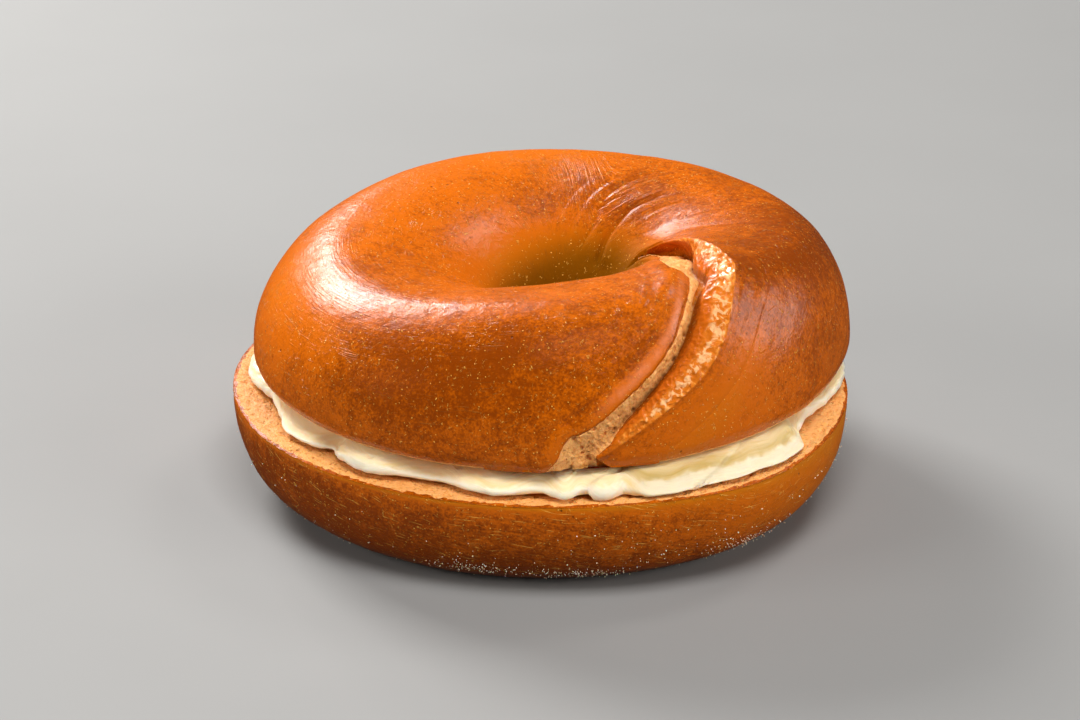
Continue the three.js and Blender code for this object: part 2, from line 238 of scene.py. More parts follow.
class Recipe:
    # one material's nodes, with the sums and patterns that the finishes share
    def __init__(self, name):
        self.material = bpy.data.materials.new(name)
        self.material.use_nodes = True
        self.tree = self.material.node_tree
        self.tree.nodes.clear()

    def node(self, kind, settings=None, values=None, output=0):
        made = self.tree.nodes.new(kind)
        for key, value in (settings or {}).items():
            setattr(made, key, value)
        for key, value in (values or {}).items():
            if isinstance(value, Value):
                self.tree.links.new(value.socket, made.inputs[key])
            else:
                made.inputs[key].default_value = value
        return Value(self, made.outputs[output]) if made.outputs else None

    def place(self):
        # object coordinates in mm
        where = self.node("ShaderNodeTexCoord", output="Object")
        return self.stretch(where, (1000, 1000, 1000))

    def stretch(self, vector, scale):
        return self.node("ShaderNodeVectorMath", {"operation": "MULTIPLY"}, {0: vector, 1: scale})

    def shift(self, vector, by):
        return self.node("ShaderNodeVectorMath", {"operation": "ADD"}, {0: vector, 1: by})

    def painted(self, name, output="Fac"):
        return self.node("ShaderNodeAttribute", {"attribute_name": name}, output=output)

    def noise(self, vector, size, detail=2.0, distortion=0.0, roughness=0.5):
        values = {"Vector": vector, "Scale": 1 / size, "Detail": detail, "Distortion": distortion,
                  "Roughness": roughness}
        return self.node("ShaderNodeTexNoise", None, values)

    def pattern(self, place, flow, look):
        # a noise as its row of settings says: drawn out along the dough's way where there is a scale,
        # and eased from 0 to 1 between two of its values where the row has both
        vector = flow if "scale" in look else place
        if "at" in look:
            vector = self.shift(vector, look["at"])
        if "scale" in look:
            vector = self.stretch(vector, look["scale"])
        value = self.noise(vector, look.get("size", 1.0), look["layers"], look.get("distortion", 0.0),
                           look.get("roughness", 0.5))
        return self.between(value, *look["between"]) if "between" in look else value

    def cells(self, vector, size):
        # distance to the nearest of many random centres
        return self.node("ShaderNodeTexVoronoi", None, {"Vector": vector, "Scale": 1 / size})

    def bend(self, vector, size, by):
        # the place moved about by a soft noise, by up to half of by mm each way
        values = {"Vector": vector, "Scale": 1 / size, "Detail": 1.0}
        moved = self.node("ShaderNodeTexNoise", None, values, 1)
        moved = self.shift(moved, (-0.5, -0.5, -0.5))
        return self.shift(vector, self.stretch(moved, (by, by, by)))

    def between(self, value, low, high, start=0.0, end=1.0):
        # eased from start to end while the value goes from low to high
        values = {0: value, 1: low, 2: high, 3: start, 4: end}
        return self.node("ShaderNodeMapRange", {"interpolation_type": "SMOOTHSTEP"}, values)

    def mix(self, factor, first, second):
        settings = {"data_type": "RGBA", "clamp_factor": True}
        return self.node("ShaderNodeMix", settings, {0: factor, 6: first, 7: second}, 2)

    def layer(self, factor, under, over):
        # one shader over another
        return self.node("ShaderNodeMixShader", None, {0: factor, 1: under, 2: over})

    def bump(self, height):
        # height in mm
        return self.node("ShaderNodeBump", None, {"Strength": 1.0, "Distance": mm, "Height": height})

    def surface(self, values):
        return self.node("ShaderNodeBsdfPrincipled", None, values)

    def finish(self, shader):
        self.node("ShaderNodeOutputMaterial", None, {"Surface": shader})
        return self.material


def tint(red, green, blue):
    return (red, green, blue, 1.0)


crustLook = {
    "orange": tint(0.57, 0.116, 0.0016),
    "brown": tint(0.235, 0.040, 0.0008),
    "golden": tint(0.57, 0.160, 0.0026),
    # painted shade deep in the hole
    "holeShade": tint(0.17, 0.056, 0.0008),
    # pale lines, and the pale curls and blisters that are partly painted glints
    "paleLineAndGlint": tint(0.92, 0.47, 0.08),
    # painted shade in the pores
    "shadedPore": tint(0.10, 0.025, 0.003),
    # painted shade in the crevice and on the bottom's crumb
    "paintedShade": tint(0.13, 0.026, 0.0010),
    "wetPale": tint(0.86, 0.31, 0.042),
    # cream flakes, partly painted highlights
    "flakesAndHighlight": tint(0.92, 0.53, 0.26),
    # a painted pinkish sheen
    "paintedSheen": tint(0.74, 0.22, 0.085),
    "wetOrange": tint(0.66, 0.165, 0.010),
    "wetRust": tint(0.60, 0.125, 0.005),
    "coatRoughness": 0.12,
    "dull": {"Roughness": 0.7, "Specular IOR Level": 0.05},
    # how high each pattern stands in the skin, in mm
    "heights": {"pebbles": 0.06, "dents": 0.09, "curl": 0.08, "blister": 0.14, "scratch": -0.13,
                "thread": 0.05, "shadedPore": -0.15},
}

# The crust's patterns: size in mm, layers, distortion, a shift that sets them apart, and the two values
# that they are eased between. A scale says how fast one changes along the dough's way and across it.
crustPatterns = {
    "patches": {"size": 7.0, "layers": 4, "distortion": 0.4},
    "specks": {"size": 1.3, "layers": 4},
    "mottle": {"size": 0.42, "layers": 2, "distortion": 0.4, "at": (8, 1, 6)},
    "pebbles": {"size": 0.50, "layers": 2, "distortion": 0.6, "at": (4, 4, 9)},
    "dents": {"size": 1.5, "layers": 1, "at": (3, 1, 12)},
    "curls": {"size": 1.05, "layers": 1, "distortion": 0.6},
    "curlZone": {"size": 0.75, "layers": 1, "at": (31, 7, 5), "between": (0.58, 0.66)},
    "blisterZone": {"size": 1.8, "layers": 2, "at": (2, 17, 5), "between": (0.37, 0.47)},
    "poreZone": {"size": 5.0, "layers": 1, "at": (3, 9, 1), "between": (0.50, 0.56)},
    "stretched": {"size": 1.5, "layers": 4, "distortion": 1.0, "at": (5, 3, 8)},
    "crackled": {"size": 0.9, "layers": 3, "distortion": 1.5, "at": (7, 7, 1)},
    "threadZone": {"size": 2.6, "layers": 1, "at": (13, 2, 17), "between": (0.42, 0.58)},
    "threads": {"scale": (0.20, 3.4, 1.0), "layers": 2, "distortion": 0.4, "between": (0.61, 0.70)},
    "streaks": {"scale": (0.09, 1.9, 1.0), "layers": 3, "distortion": 0.5},
    "arcs": {"scale": (0.25, 2.2, 1.0), "layers": 1, "distortion": 0.2},
    "scratches": {"scale": (0.32, 3.0, 1.0), "layers": 1, "distortion": 0.7, "at": (4, 4, 4),
                  "between": (0.68, 0.73)},
    "folds": {"scale": (0.06, 0.75, 1.0), "layers": 2, "distortion": 0.3},
}

crustFinish = {
    "glossyTopCrust": {"browning": 0.02, "roughness": 0.245, "specular": 0.20, "coat": 0.04,
                       "strokes": 0.10, "crumbPaleness": 0.12},
    "satinBottomCrust": {"browning": 0.04, "roughness": 0.33, "specular": 0.14, "coat": 0.02,
                         "strokes": 0.55, "crumbPaleness": 0.15},
}

crumbLook = {
    "pale": tint(0.92, 0.45, 0.15),
    "warm": tint(0.84, 0.34, 0.075),
    "grain": tint(0.70, 0.23, 0.028),
    # painted shade in the pores
    "deepShade": tint(0.36, 0.105, 0.010),
    "lumps": {"size": 2.2, "layers": 3},
    "poreZone": {"size": 1.6, "layers": 1, "between": (0.42, 0.56)},
    "fibre": {"size": 0.22, "layers": 2, "distortion": 0.2},
    "grains": {"size": 0.6, "layers": 3, "distortion": 0.5, "roughness": 0.6, "at": (1, 8, 3)},
    "surface": {"Roughness": 0.55, "Specular IOR Level": 0.35, "Subsurface Weight": 0.25,
                "Subsurface Radius": (1.0, 0.45, 0.2), "Subsurface Scale": 0.0012},
}


def crumbSurface(recipe, place, paintedShade, paleness):
    # spongy torn crumb: warm lumps, irregular deep pores painted with shade, and fine fibres; painted shade
    # laid over it where its attribute says
    lumps, poreZone, fibre, grains = (
        recipe.pattern(place, None, crumbLook[key]) for key in ("lumps", "poreZone", "fibre", "grains"))
    cells = recipe.cells(recipe.bend(place, 1.4, 0.7), 1.15)
    shadedPore = recipe.between(cells, 0.30, 0.12) * poreZone
    base = recipe.mix(recipe.between(lumps + paleness, 0.30, 0.70), crumbLook["warm"], crumbLook["pale"])
    base = recipe.mix(recipe.between(grains, 0.50, 0.34, 0, 0.70), base, crumbLook["grain"])
    # painted shade in the pores
    base = recipe.mix(shadedPore * 0.35, base, crumbLook["deepShade"])
    base = recipe.mix(paintedShade, base, crustLook["paintedShade"])
    height = fibre * 0.08 + grains * 0.40 - shadedPore * 0.25
    return recipe.surface({**crumbLook["surface"], "Base Color": base, "Normal": recipe.bump(height)})


def wetDough(recipe, stretched):
    # stretched wet dough: orange with pale bits, cream flakes that are partly painted highlights, and a
    # network of rust-red veins, reddest at its ragged edge
    base = recipe.mix(recipe.between(stretched, 0.46, 0.64), crustLook["wetOrange"], crustLook["wetPale"])
    veins = recipe.between(abs(stretched - 0.44), 0.030, 0.0, 0, 0.25)
    base = recipe.mix(veins, base, crustLook["wetRust"])
    flakes = recipe.between(recipe.painted("flakesAndHighlight") + stretched * 1.6, 1.17, 1.36, 0, 0.75)
    base = recipe.mix(flakes, base, crustLook["flakesAndHighlight"])
    rusty = recipe.between(recipe.painted("rust") + stretched * 0.8 - 0.4, 0.25, 0.65)
    return recipe.mix(rusty, base, crustLook["wetRust"])


def crustMaterial(name):
    # baked crust: slow patches, streaks where the dough was drawn, pebbly skin, curls and pores, and
    # crumb where it is torn; with painted shade in the pores, the hole and the crevice, painted light and
    # shade in its tone, and painted glints and sheen
    recipe, finish = Recipe(name), crustFinish[name]
    place, flow = recipe.place(), recipe.painted("flow", "Vector")
    toneAndPaintedLight, deepShade, drawn, crumb, wet, paintedShade = (
        recipe.painted(key) for key in ("toneAndPaintedLight", "deepShade", "drawn", "crumb", "wet", "paintedShade"))
    skin = {key: recipe.pattern(place, flow, look) for key, look in crustPatterns.items()}
    skin["thread"] = skin["threads"] * skin["threadZone"]
    skin["scratch"] = skin["scratches"] * recipe.painted("scratched")
    # short curved ridges where one noise crosses its middle and another is high, and small pale blisters;
    # their pale colour is partly painted glints
    skin["curl"] = recipe.between(abs(skin["curls"] - 0.5), 0.030, 0.0) * skin["curlZone"]
    blisterCells = recipe.cells(recipe.bend(place, 0.8, 0.5), 1.0)
    skin["blister"] = recipe.between(blisterCells, 0.16, 0.08) * skin["blisterZone"]
    poreCells = recipe.cells(recipe.shift(place, (9, 4, 2)), 3.4)
    skin["shadedPore"] = recipe.between(poreCells, 0.085, 0.03) * skin["poreZone"]

    # the tone carries painted light and shade as well as the crust's own paler and browner parts
    baked = (skin["patches"] * 0.50 + skin["specks"] * 0.45 + skin["mottle"] * 0.65
             + skin["streaks"] * 0.45 * drawn + finish["browning"] - toneAndPaintedLight * 0.55)
    base = recipe.mix(recipe.between(baked, 0.68, 1.14), crustLook["orange"], crustLook["brown"])
    # painted sheen: a pinkish band on the tongue's smooth taut skin
    paintedSheen = recipe.painted("paintedSheen") * recipe.between(skin["specks"], 0.30, 0.62, 0.4)
    for factor, over in (
        (recipe.between(toneAndPaintedLight + skin["patches"] * 0.3, 0.35, 1.1), crustLook["golden"]),
        # painted shade deep in the hole
        (deepShade, crustLook["holeShade"]),
        (skin["thread"] * (finish["strokes"] + drawn * 0.25), crustLook["paleLineAndGlint"]),
        # pale curls and blisters, partly painted glints
        (skin["curl"] * 0.55 + skin["blister"] * 0.85, crustLook["paleLineAndGlint"]),
        # painted shade in the pores
        (skin["shadedPore"] * 0.8, crustLook["shadedPore"]),
        (skin["scratch"] * 0.85, crustLook["brown"]),
        (paintedSheen, crustLook["paintedSheen"]),
        (wet, wetDough(recipe, skin["stretched"])),
        # painted shade in the crevice
        (paintedShade, crustLook["paintedShade"]),
    ):
        base = recipe.mix(factor, base, over)

    # broad drawn folds where the dough turns into the hole, fine arcs along its way, crackled wet dough
    height = sum(skin[key] * rise for key, rise in crustLook["heights"].items())
    height = height + skin["folds"] * recipe.between(drawn, 0.60, 1.0) * 0.30
    height = height + skin["streaks"] * (0.01 + drawn * 0.12) + skin["arcs"] * drawn * 0.05
    height = height + recipe.between(abs(skin["crackled"] - 0.5), 0.10, 0.0) * wet * 0.03
    normal = recipe.bump(height)
    crust = recipe.surface({
        "Base Color": base,
        "Roughness": skin["patches"] * 0.05 - wet * 0.11 + finish["roughness"],
        "Specular IOR Level": finish["specular"],
        "Coat Weight": wet * 0.45 + finish["coat"],
        "Coat Roughness": crustLook["coatRoughness"],
        "Normal": normal,
    })
    # deep in the hole the skin is soft and dull, and here and there it is less glossy
    dull = recipe.surface({**crustLook["dull"], "Base Color": base, "Normal": normal})
    crust = recipe.layer(recipe.between(deepShade, 0.0, 0.35) + recipe.painted("matt"), crust, dull)
    torn = recipe.between(crumb + skin["specks"] * 0.3 - 0.15, 0.35, 0.65)
    inside = crumbSurface(recipe, place, paintedShade, finish["crumbPaleness"])
    return recipe.finish(recipe.layer(torn, crust, inside))


spreadLook = {
    "cream": tint(0.92, 0.77, 0.50),
    "yellow": tint(0.86, 0.63, 0.28),
    # painted light on the rim's side, and the smear's torn strip
    "white": tint(0.93, 0.85, 0.67),
    "smear": tint(0.60, 0.45, 0.20),
    "yellowSmear": tint(0.52, 0.35, 0.10),
    "swirls": {"scale": (0.10, 0.7, 1.0), "layers": 3, "distortion": 0.8, "between": (0.35, 0.70)},
    "strokes": {"scale": (0.20, 3.0, 1.0), "layers": 2, "distortion": 0.4},
    "lumps": {"size": 0.9, "layers": 3},
    "surface": {"Specular IOR Level": 0.35, "Subsurface Weight": 0.45, "Subsurface Radius": (1.0, 0.75, 0.40),
                "Subsurface Scale": 0.0016, "Coat Weight": 0.08, "Coat Roughness": 0.2},
}


def spreadMaterial(name):
    # soft pale cream: faint yellow swirls along the knife's way, a satin skin, and a rim painted whiter as
    # painted light
    recipe = Recipe(name)
    place, flow = recipe.place(), recipe.painted("flow", "Vector")
    swirls, strokes, lumps = (
        recipe.pattern(place, flow, spreadLook[key]) for key in ("swirls", "strokes", "lumps"))
    base = recipe.mix(swirls * 0.7, spreadLook["cream"], spreadLook["yellow"])
    # painted light on the rim's side, and the smear's torn strip
    rimLightAndStrip = recipe.between(recipe.painted("rim") + lumps * 0.6 - 0.3, 0.2, 0.9)
    base = recipe.mix(rimLightAndStrip, base, spreadLook["white"])
    smeared = recipe.mix(swirls, spreadLook["smear"], spreadLook["yellowSmear"])
    base = recipe.mix(recipe.painted("yellow"), base, smeared)
    return recipe.finish(recipe.surface({
        **spreadLook["surface"],
        "Base Color": base,
        "Roughness": recipe.between(lumps, 0.3, 0.7, 0.28, 0.42),
        "Normal": recipe.bump(strokes * 0.10 + lumps * 0.05),
    }))


def cloudyMaterial(name, look):
    # two colours in soft clouds
    recipe = Recipe(name)
    clouds = recipe.pattern(recipe.place(), None, look["clouds"])
    base = recipe.mix(clouds, look["darker"], look["lighter"])
    return recipe.finish(recipe.surface({"Base Color": base, **look["surface"]}))


topCrust, bottomCrust = (crustMaterial(name) for name in crustFinish)
creamSpread = spreadMaterial("creamSpread")
print("materials made")


topHalf = {
    "columns": 486,
    "domeRows": 190,
    "cutRows": 12,
    "centre": (1.95, 1.4),
    "middleRadius": 38.6,  # the crest
    "outerRadius": 54.1,
    "holeRadius": 8.7,
    "cutHeight": 23.4,
    "widestHeight": 2.4,
    "domeHeight": 20.9,
    "roundness": 1.96,  # 2 makes the section an ellipse, more makes it squarer
    "undercut": 22,  # how far the profile runs on below the widest line, in degrees
    "outerWaves": [(2, -0.35, 1.15), (3, -0.18, 0.48)],
    "crestWaves": [(1, 1.99, 0.66)],
    "heightWaves": [(1, 1.59, -0.73), (2, -0.99, -1.23)],
    "seamCrowding": 0.30,  # how much closer the columns stand at the seam
    "lumps": 0.35,  # slow unevenness, in mm
    "skin": 0.07,  # and fine unevenness
    "bandGroove": 0.16,  # a faint groove on the tongue beside its band, in mm
    "crinkles": 0.16,
    "nibbled": 0.35,  # how deep the skin is nibbled at the cut
    "foldBed": 0.8,  # how deep the dome lies under the seam's own fine skin
    "skinPerDegree": 0.38,  # mm over the skin for each degree of the profile
    "twist": 2.0,  # how fast the dough's way spirals into the hole
}

# Soft spots on the top half: ring angle, its width in radians, profile angle and its width in degrees.
topSpots = {
    "rightShoulder": (-12, 0.75, 70, 42),
    # some of them paint light and shade: the front is painted darker, the left and the back lighter
    "front": (-112, 0.62, 38, 38),
    "left": (-165, 0.5, 50, 40),
    "back": (95, 0.9, 80, 38),
    "streaked": (-158, 0.5, 78, 30),
    "hood": (66, 0.75, 116, 30),
    "scratched": (-145, 0.5, 64, 20),
    "besideHood": (18, 0.28, 117, 14),
    "tip": (-54, 0.25, 105, 16),
    "dullBack": (88, 0.85, 72, 26),
}

# Where the rope's ends overlap: the seam's ring angle against the profile angle, in degrees.
seam = {
    "atWidest": -83.6,
    "drift": 0.4,
    "turn": 56,
    "turnAt": 126,
    "turnWidth": 6,
    "bow": 3.4,
    "bowAt": 40,
    "bowWidth": 24,
    "endAt": 150,
    "samples": 460,
    "fade": 4.5,  # the section rises from nothing over this, in mm
    # how far the section reaches beyond the tongue's edge line and beyond the lip, at its start and later
    "skinReach": (4.5, 9),
    "lipReach": (6, 11),
    "reachGrows": (8, 12),  # where along the seam that starts to grow, and over how many mm
    "margin": (1.7, 3.3),  # how far inside its own width the fine skin meets the dome
    "foldFrom": 2.5,  # where along the seam the fine skin starts
}

# The section across the seam, measured every few mm along it from the hole outward. On the tongue's
# side there is the line where its skin ends, a smooth band and the edge of its crust. Then come the
# torn face, the crevice, the foot of the other end's wet band, and the lip at its top.
seamShape = {
    "run": [0, 5, 9, 13, 20, 26, 36, 43, 50, 55, 61, 66, 73, 80, 86, 89, 92],
    "skinEdge": [-1.5, -1.7, -2.9, -4.0, -4.9, -5.5, -6.3, -6.9, -5.8, -5.3, -5.5, -5.9, -6.3, -6.7, -7.1,
                 -7.8, -11],
    "skinHeight": [0.5, 0.8, 0.9, 1.0, 1.1, 1.1, 1.0, 1.0, 1.0, 0.9, 0.6, 0.4, 0.3, 0.25, 0.2, 0.2, 0.3],
    "groove": [0, 0, 0, 0, 0, 0, 0, 0, 0.05, 0.1, 0.25, 0.35, 0.35, 0.3, 0.25, 0.1, 0],
    "bandHeight": [0.4, 0.6, 0.7, 0.75, 0.7, 0.6, 0.5, 0.45, 0.35, 0.3, 0.45, 0.6, 0.7, 0.7, 0.7, 0.7, 0.8],
    "crustEdge": [-1.3, -1.4, -2.3, -3.3, -4.2, -4.7, -5.3, -4.9, -3.0, -2.5, -2.9, -2.95, -3.0, -3.4, -3.8,
                  -4.8, -8.6],
    "edgeHeight": [0.2, 0.4, 0.4, 0.3, 0.1, 0, -0.1, -0.2, -0.5, -0.6, -0.1, 0.3, 0.5, 0.5, 0.5, 0.5, 0.6],
    "crevice": [-1.1, -0.9, 0.4, 0.5, 0.2, 0.0, -0.6, -0.9, -0.8, -0.2, 0, 0, 0, 0, 0, 0, 0],
    "depth": [0.3, 0.7, 1.9, 2.4, 2.7, 2.8, 2.8, 2.8, 2.8, 2.9, 2.9, 2.8, 2.6, 2.2, 2.0, 2.2, 2.8],
    "foot": [-0.9, -0.7, 0.8, 1.2, 1.0, 0.7, 0.1, -0.3, 0.2, 0.7, 0.95, 0.6, 0.7, 0.9, 0.8, 0.7, 0.9],
    "footHeight": [0, -0.3, -0.8, -1.0, -0.9, -0.8, -0.6, -0.6, -0.6, -0.8, -1.1, -1.2, -1.0, -1.0, -1.2,
                   -1.6, -2.3],
    "lip": [-0.8, -1.1, -0.8, -0.3, 1.0, 2.4, 3.6, 3.5, 4.6, 5.0, 5.2, 4.5, 3.5, 2.3, 1.5, 1.2, 1.8],
    "lipHeight": [0.4, 1.0, 1.4, 1.7, 1.8, 1.8, 1.8, 1.8, 1.6, 1.5, 1.2, 0.9, 0.35, 0.0, -0.5, -1.0, -2.0],
}


def domePoints(ringAngle, profileAngle):
    # a ring whose section is a rounded square, outside and inside of the crest, plus slow waves
    middle, outer, hole = topHalf["middleRadius"], topHalf["outerRadius"], topHalf["holeRadius"]
    power = 2 / topHalf["roundness"]
    cosine, sine = np.cos(profileAngle), np.sin(profileAngle)
    halfWidth = np.where(cosine > 0, outer - middle, middle - hole)
    radius = middle + halfWidth * signedPower(cosine, power)
    widest = topHalf["widestHeight"]
    below = widest / math.sin(math.radians(topHalf["undercut"])) ** power
    height = widest + np.where(sine > 0, topHalf["domeHeight"], below) * signedPower(sine, power)
    outerShare = clamp01((radius - middle) / (outer - middle))
    heightShare = clamp01(height / (topHalf["domeHeight"] + widest))
    radius = (radius + outerShare * waves(topHalf["outerWaves"], ringAngle)
              + (1 - outerShare) * waves(topHalf["crestWaves"], ringAngle))
    height = height + heightShare * waves(topHalf["heightWaves"], ringAngle)
    return ringPoints(topHalf["centre"], radius, ringAngle, topHalf["cutHeight"] + np.maximum(height, 0))


def seamAngle(profileAngle):
    # a straight drift above the widest line, a quick turn over the hole's shoulder and a slight bow
    here = np.degrees(profileAngle)
    turned = seam["turn"] / (1 + np.exp((seam["turnAt"] - here) / seam["turnWidth"]))
    bowed = seam["bow"] * bell((here - seam["bowAt"]) / seam["bowWidth"])
    return np.radians(seam["atWidest"] + seam["drift"] * np.maximum(here, 0) + turned + bowed)


def besideLine(points, normals, line):
    # signed distance of each point from a line on the dome, and how far along the line it lies, in mm.
    # It is positive on the side that the cross product of normal and direction points to.
    along = unit(np.gradient(line, axis=0))
    run = runFrom(line, 0)
    nearest = np.empty(len(points), int)
    for start in range(0, len(points), 8000):
        part = slice(start, start + 8000)
        squares = (points[part] ** 2).sum(1)[:, None] + (line ** 2).sum(1) - 2 * points[part] @ line.T
        nearest[part] = squares.argmin(1)
    apart = points - line[nearest]
    forward = (apart * along[nearest]).sum(1)
    gap = run[-1] / (len(line) - 1)
    inside = np.clip(forward, -gap, gap)
    least = np.sqrt(np.maximum((apart ** 2).sum(1) - inside * inside, 0))
    side = (apart * np.cross(normals, along[nearest])).sum(1)
    return np.where(side < 0, -least, least), run[nearest] + inside


def seamLine():
    profile = np.linspace(math.radians(seam["endAt"]), math.radians(-topHalf["undercut"]), seam["samples"])
    return domePoints(seamAngle(profile), profile), profile


def seamRow(run, key):
    # one measure of the section, smoothed over a few mm of the seam
    nudges = (-3, -1.5, 0, 1.5, 3)
    return sum(np.interp(run + nudge, seamShape["run"], seamShape[key]) for nudge in nudges) / len(nudges)


def seamReach(run, key):
    grown = easeStep((run - seam["reachGrows"][0]) / seam["reachGrows"][1])
    return seam[key][0] + (seam[key][1] - seam[key][0]) * grown


def seamSection(run):
    # the section's corners at each place along the seam, as distances and heights in mm
    skinReach, lipReach = seamReach(run, "skinReach"), seamReach(run, "lipReach")
    row = {key: seamRow(run, key) for key in seamShape if key != "run"}
    skin, crust, dip, foot, lip = (row[key] for key in ("skinEdge", "crustEdge", "crevice", "foot", "lip"))
    skinHeight, bandHeight, edgeHeight = row["skinHeight"], row["bandHeight"], row["edgeHeight"]
    depth, footHeight, lipHeight = row["depth"], row["footHeight"], row["lipHeight"]
    corners = [
        (skin - skinReach, 0 * skin), (skin - 0.61 * skinReach, 0.2 * skinHeight),
        (skin - 0.29 * skinReach, 0.65 * skinHeight),
        (skin - 0.7, skinHeight), (skin, 0.92 * skinHeight - row["groove"]),
        (skin + 0.6 * easeStep((crust - skin) / 1.6), (skinHeight + bandHeight) / 2),
        ((skin + crust) / 2, bandHeight), (crust - 0.3, (bandHeight + 2 * edgeHeight) / 3),
        (crust, edgeHeight), (crust + 0.25, edgeHeight - 0.5), ((crust + dip) / 2, -0.45 * depth),
        (dip - 0.6, -0.92 * depth), (dip, -depth), ((dip + foot) / 2 + 0.1, (footHeight - depth) / 2),
        (foot, footHeight), (foot + 0.3 * (lip - foot), footHeight + 0.40 * (lipHeight - footHeight)),
        (foot + 0.7 * (lip - foot), footHeight + 0.80 * (lipHeight - footHeight)),
        (lip, lipHeight), (lip + 1.3, 0.95 * lipHeight), (lip + 0.29 * lipReach, 0.62 * lipHeight),
        (lip + 0.59 * lipReach, 0.22 * lipHeight), (lip + lipReach, 0 * lip),
    ]
    distances, heights = (np.stack([corner[axis] for corner in corners], -1) for axis in range(2))
    return distances, heights * easeStep(run / seam["fade"])[:, None]


def sectionHeight(distance, run):
    # the section followed leg by leg from the tongue's side, with overhangs pulled upright
    distances, heights = seamSection(run)
    distances = np.maximum.accumulate(distances + 0.02 * np.arange(distances.shape[1]), axis=1)
    height = heights[:, 0].copy()
    for leg in range(1, distances.shape[1]):
        across = (distance - distances[:, leg - 1]) / (distances[:, leg] - distances[:, leg - 1] + 1e-9)
        height += (heights[:, leg] - heights[:, leg - 1]) * clamp01(across)
    return height


def insideFold(distance, run):
    # how far a place lies inside the outline of the fold's own fine skin, in mm
    margin = seamReach(run, "margin")
    near = distance - (seamRow(run, "skinEdge") - seamReach(run, "skinReach") + margin)
    far = seamRow(run, "lip") + seamReach(run, "lipReach") - margin - distance
    return np.minimum(np.minimum(near, far), run - seam["foldFrom"])


def topColumnAngle(share, profileAngle):
    # columns follow the seam where they are close to it, and stand closer there
    crowded = share - topHalf["seamCrowding"] * np.sin(wholeTurn * share) / wholeTurn
    nearness = (1 + np.cos(wholeTurn * crowded)) / 2
    ends = np.radians([seam["endAt"], -topHalf["undercut"]])
    middle = seamAngle(ends).mean()
    here = seamAngle(np.minimum(profileAngle, ends[0]))
    return middle + wholeTurn * crowded + (here - middle) * nearness


# Folds and streaks where the dough turns down into the hole: a path of ring and profile angles in
# degrees, how deep and how wide the groove is, and how far the side on its right rises, all in mm.
creases = [
    ([(55, 156), (56, 148), (57, 140), (56, 132), (55, 124), (49, 114), (43, 105)], 0.9, 0.8, 0.7),
    ([(74, 152), (70, 143), (67.5, 135), (68.5, 127), (67, 118), (60, 104), (50, 89)], 0.35, 0.7, 0.3),
    ([(81, 145), (79, 135), (76, 125), (72, 116), (65, 104)], 0.2, 0.6, 0.16),
    ([(88, 136), (84, 126), (79, 116), (73, 106)], 0.14, 0.6, 0.1),
    ([(94, 128), (90, 118), (85, 110)], 0.1, 0.5, 0.06),
    ([(67, 126), (65, 122), (63, 118.5)], 0.6, 0.3, 0.1),
    ([(51, 136), (47, 126), (41.5, 117), (34.5, 106), (30, 93)], 0.12, 0.6, 0.1),
    ([(40, 140), (33, 125), (24, 108), (18, 92)], 0.08, 0.7, 0.06),
    ([(24.5, 136), (19, 124), (10, 111), (2, 98), (-4, 76)], 0.08, 0.8, 0.06),
]


def creaseHeight(points, normals, path, depth, width, rise):
    # the path is drawn finer and smoothed a few times, and the crease fades out at both its ends
    path = np.array(path, float)
    fine = np.linspace(0, len(path) - 1, 60)
    steps = np.arange(len(path))
    angles = np.radians([np.interp(fine, steps, path[:, axis]) for axis in range(2)])
    for _ in range(6):
        angles[:, 1:-1] = (angles[:, :-2] + angles[:, 1:-1] + angles[:, 2:]) / 3
    distance, run = besideLine(points, normals, domePoints(*angles))
    share = run / run.max()
    groove = -depth * bell(distance / width)
    raised = rise * easeStep(-distance / width) * bell(distance / (5 * width))
    return (groove + raised) * band(share, 0, 1, 0.12, 0.45)


def crustRelief(base, normals, distance, run):
    # everything on the baked skin that both the dome and the seam's fold share
    fromSkin = distance - seamRow(run, "skinEdge")
    height = -topHalf["bandGroove"] * band(run, 26, 91, 12, 8) * bell((fromSkin + 3.2) / 0.8)
    for crease in creases:
        height += creaseHeight(base, normals, *crease)
    height += topHalf["lumps"] * (softNoise(base, 16, 1, 2) - 1.0)
    height += topHalf["skin"] * softNoise(base, 3.0, 5, 3)
    # crinkled blisters on the tongue beside its band, long along the seam
    crinkled = bell((fromSkin + 3.0) / 2.2) * band(run, 54, 88, 8, 8)
    ridges = 1 - np.abs(softNoise(np.stack([run / 2.2, distance, 0 * run], -1), 0.8, 17, 2)) * 3
    return height + topHalf["crinkles"] * crinkled * clamp01(ridges)


def pushOut(base, normals, height):
    # points moved along the dome's normals, and ever more level toward the cut
    push = normals.copy()
    push[:, 2] *= clamp01((base[:, 2] - topHalf["cutHeight"]) / topHalf["widestHeight"])
    return base + push * height[:, None]


def topFlow(ring, profile, distance, run):
    # how the dough's skin is drawn: round the ring, then spiralling into the hole, and along the seam
    arc = np.degrees(profile) * topHalf["skinPerDegree"]
    twist = np.degrees(ring) * topHalf["skinPerDegree"] * topHalf["twist"]
    fade = bell(np.maximum(np.degrees(ring) - 60, 0) / 30)
    nearSeam = bell(distance / 9) * easeStep(run / 9)
    flowAcross = (arc - twist * fade) * (1 - nearSeam) + distance * nearSeam
    return np.stack([ring * topHalf["middleRadius"], flowAcross, np.zeros_like(ring)], -1)


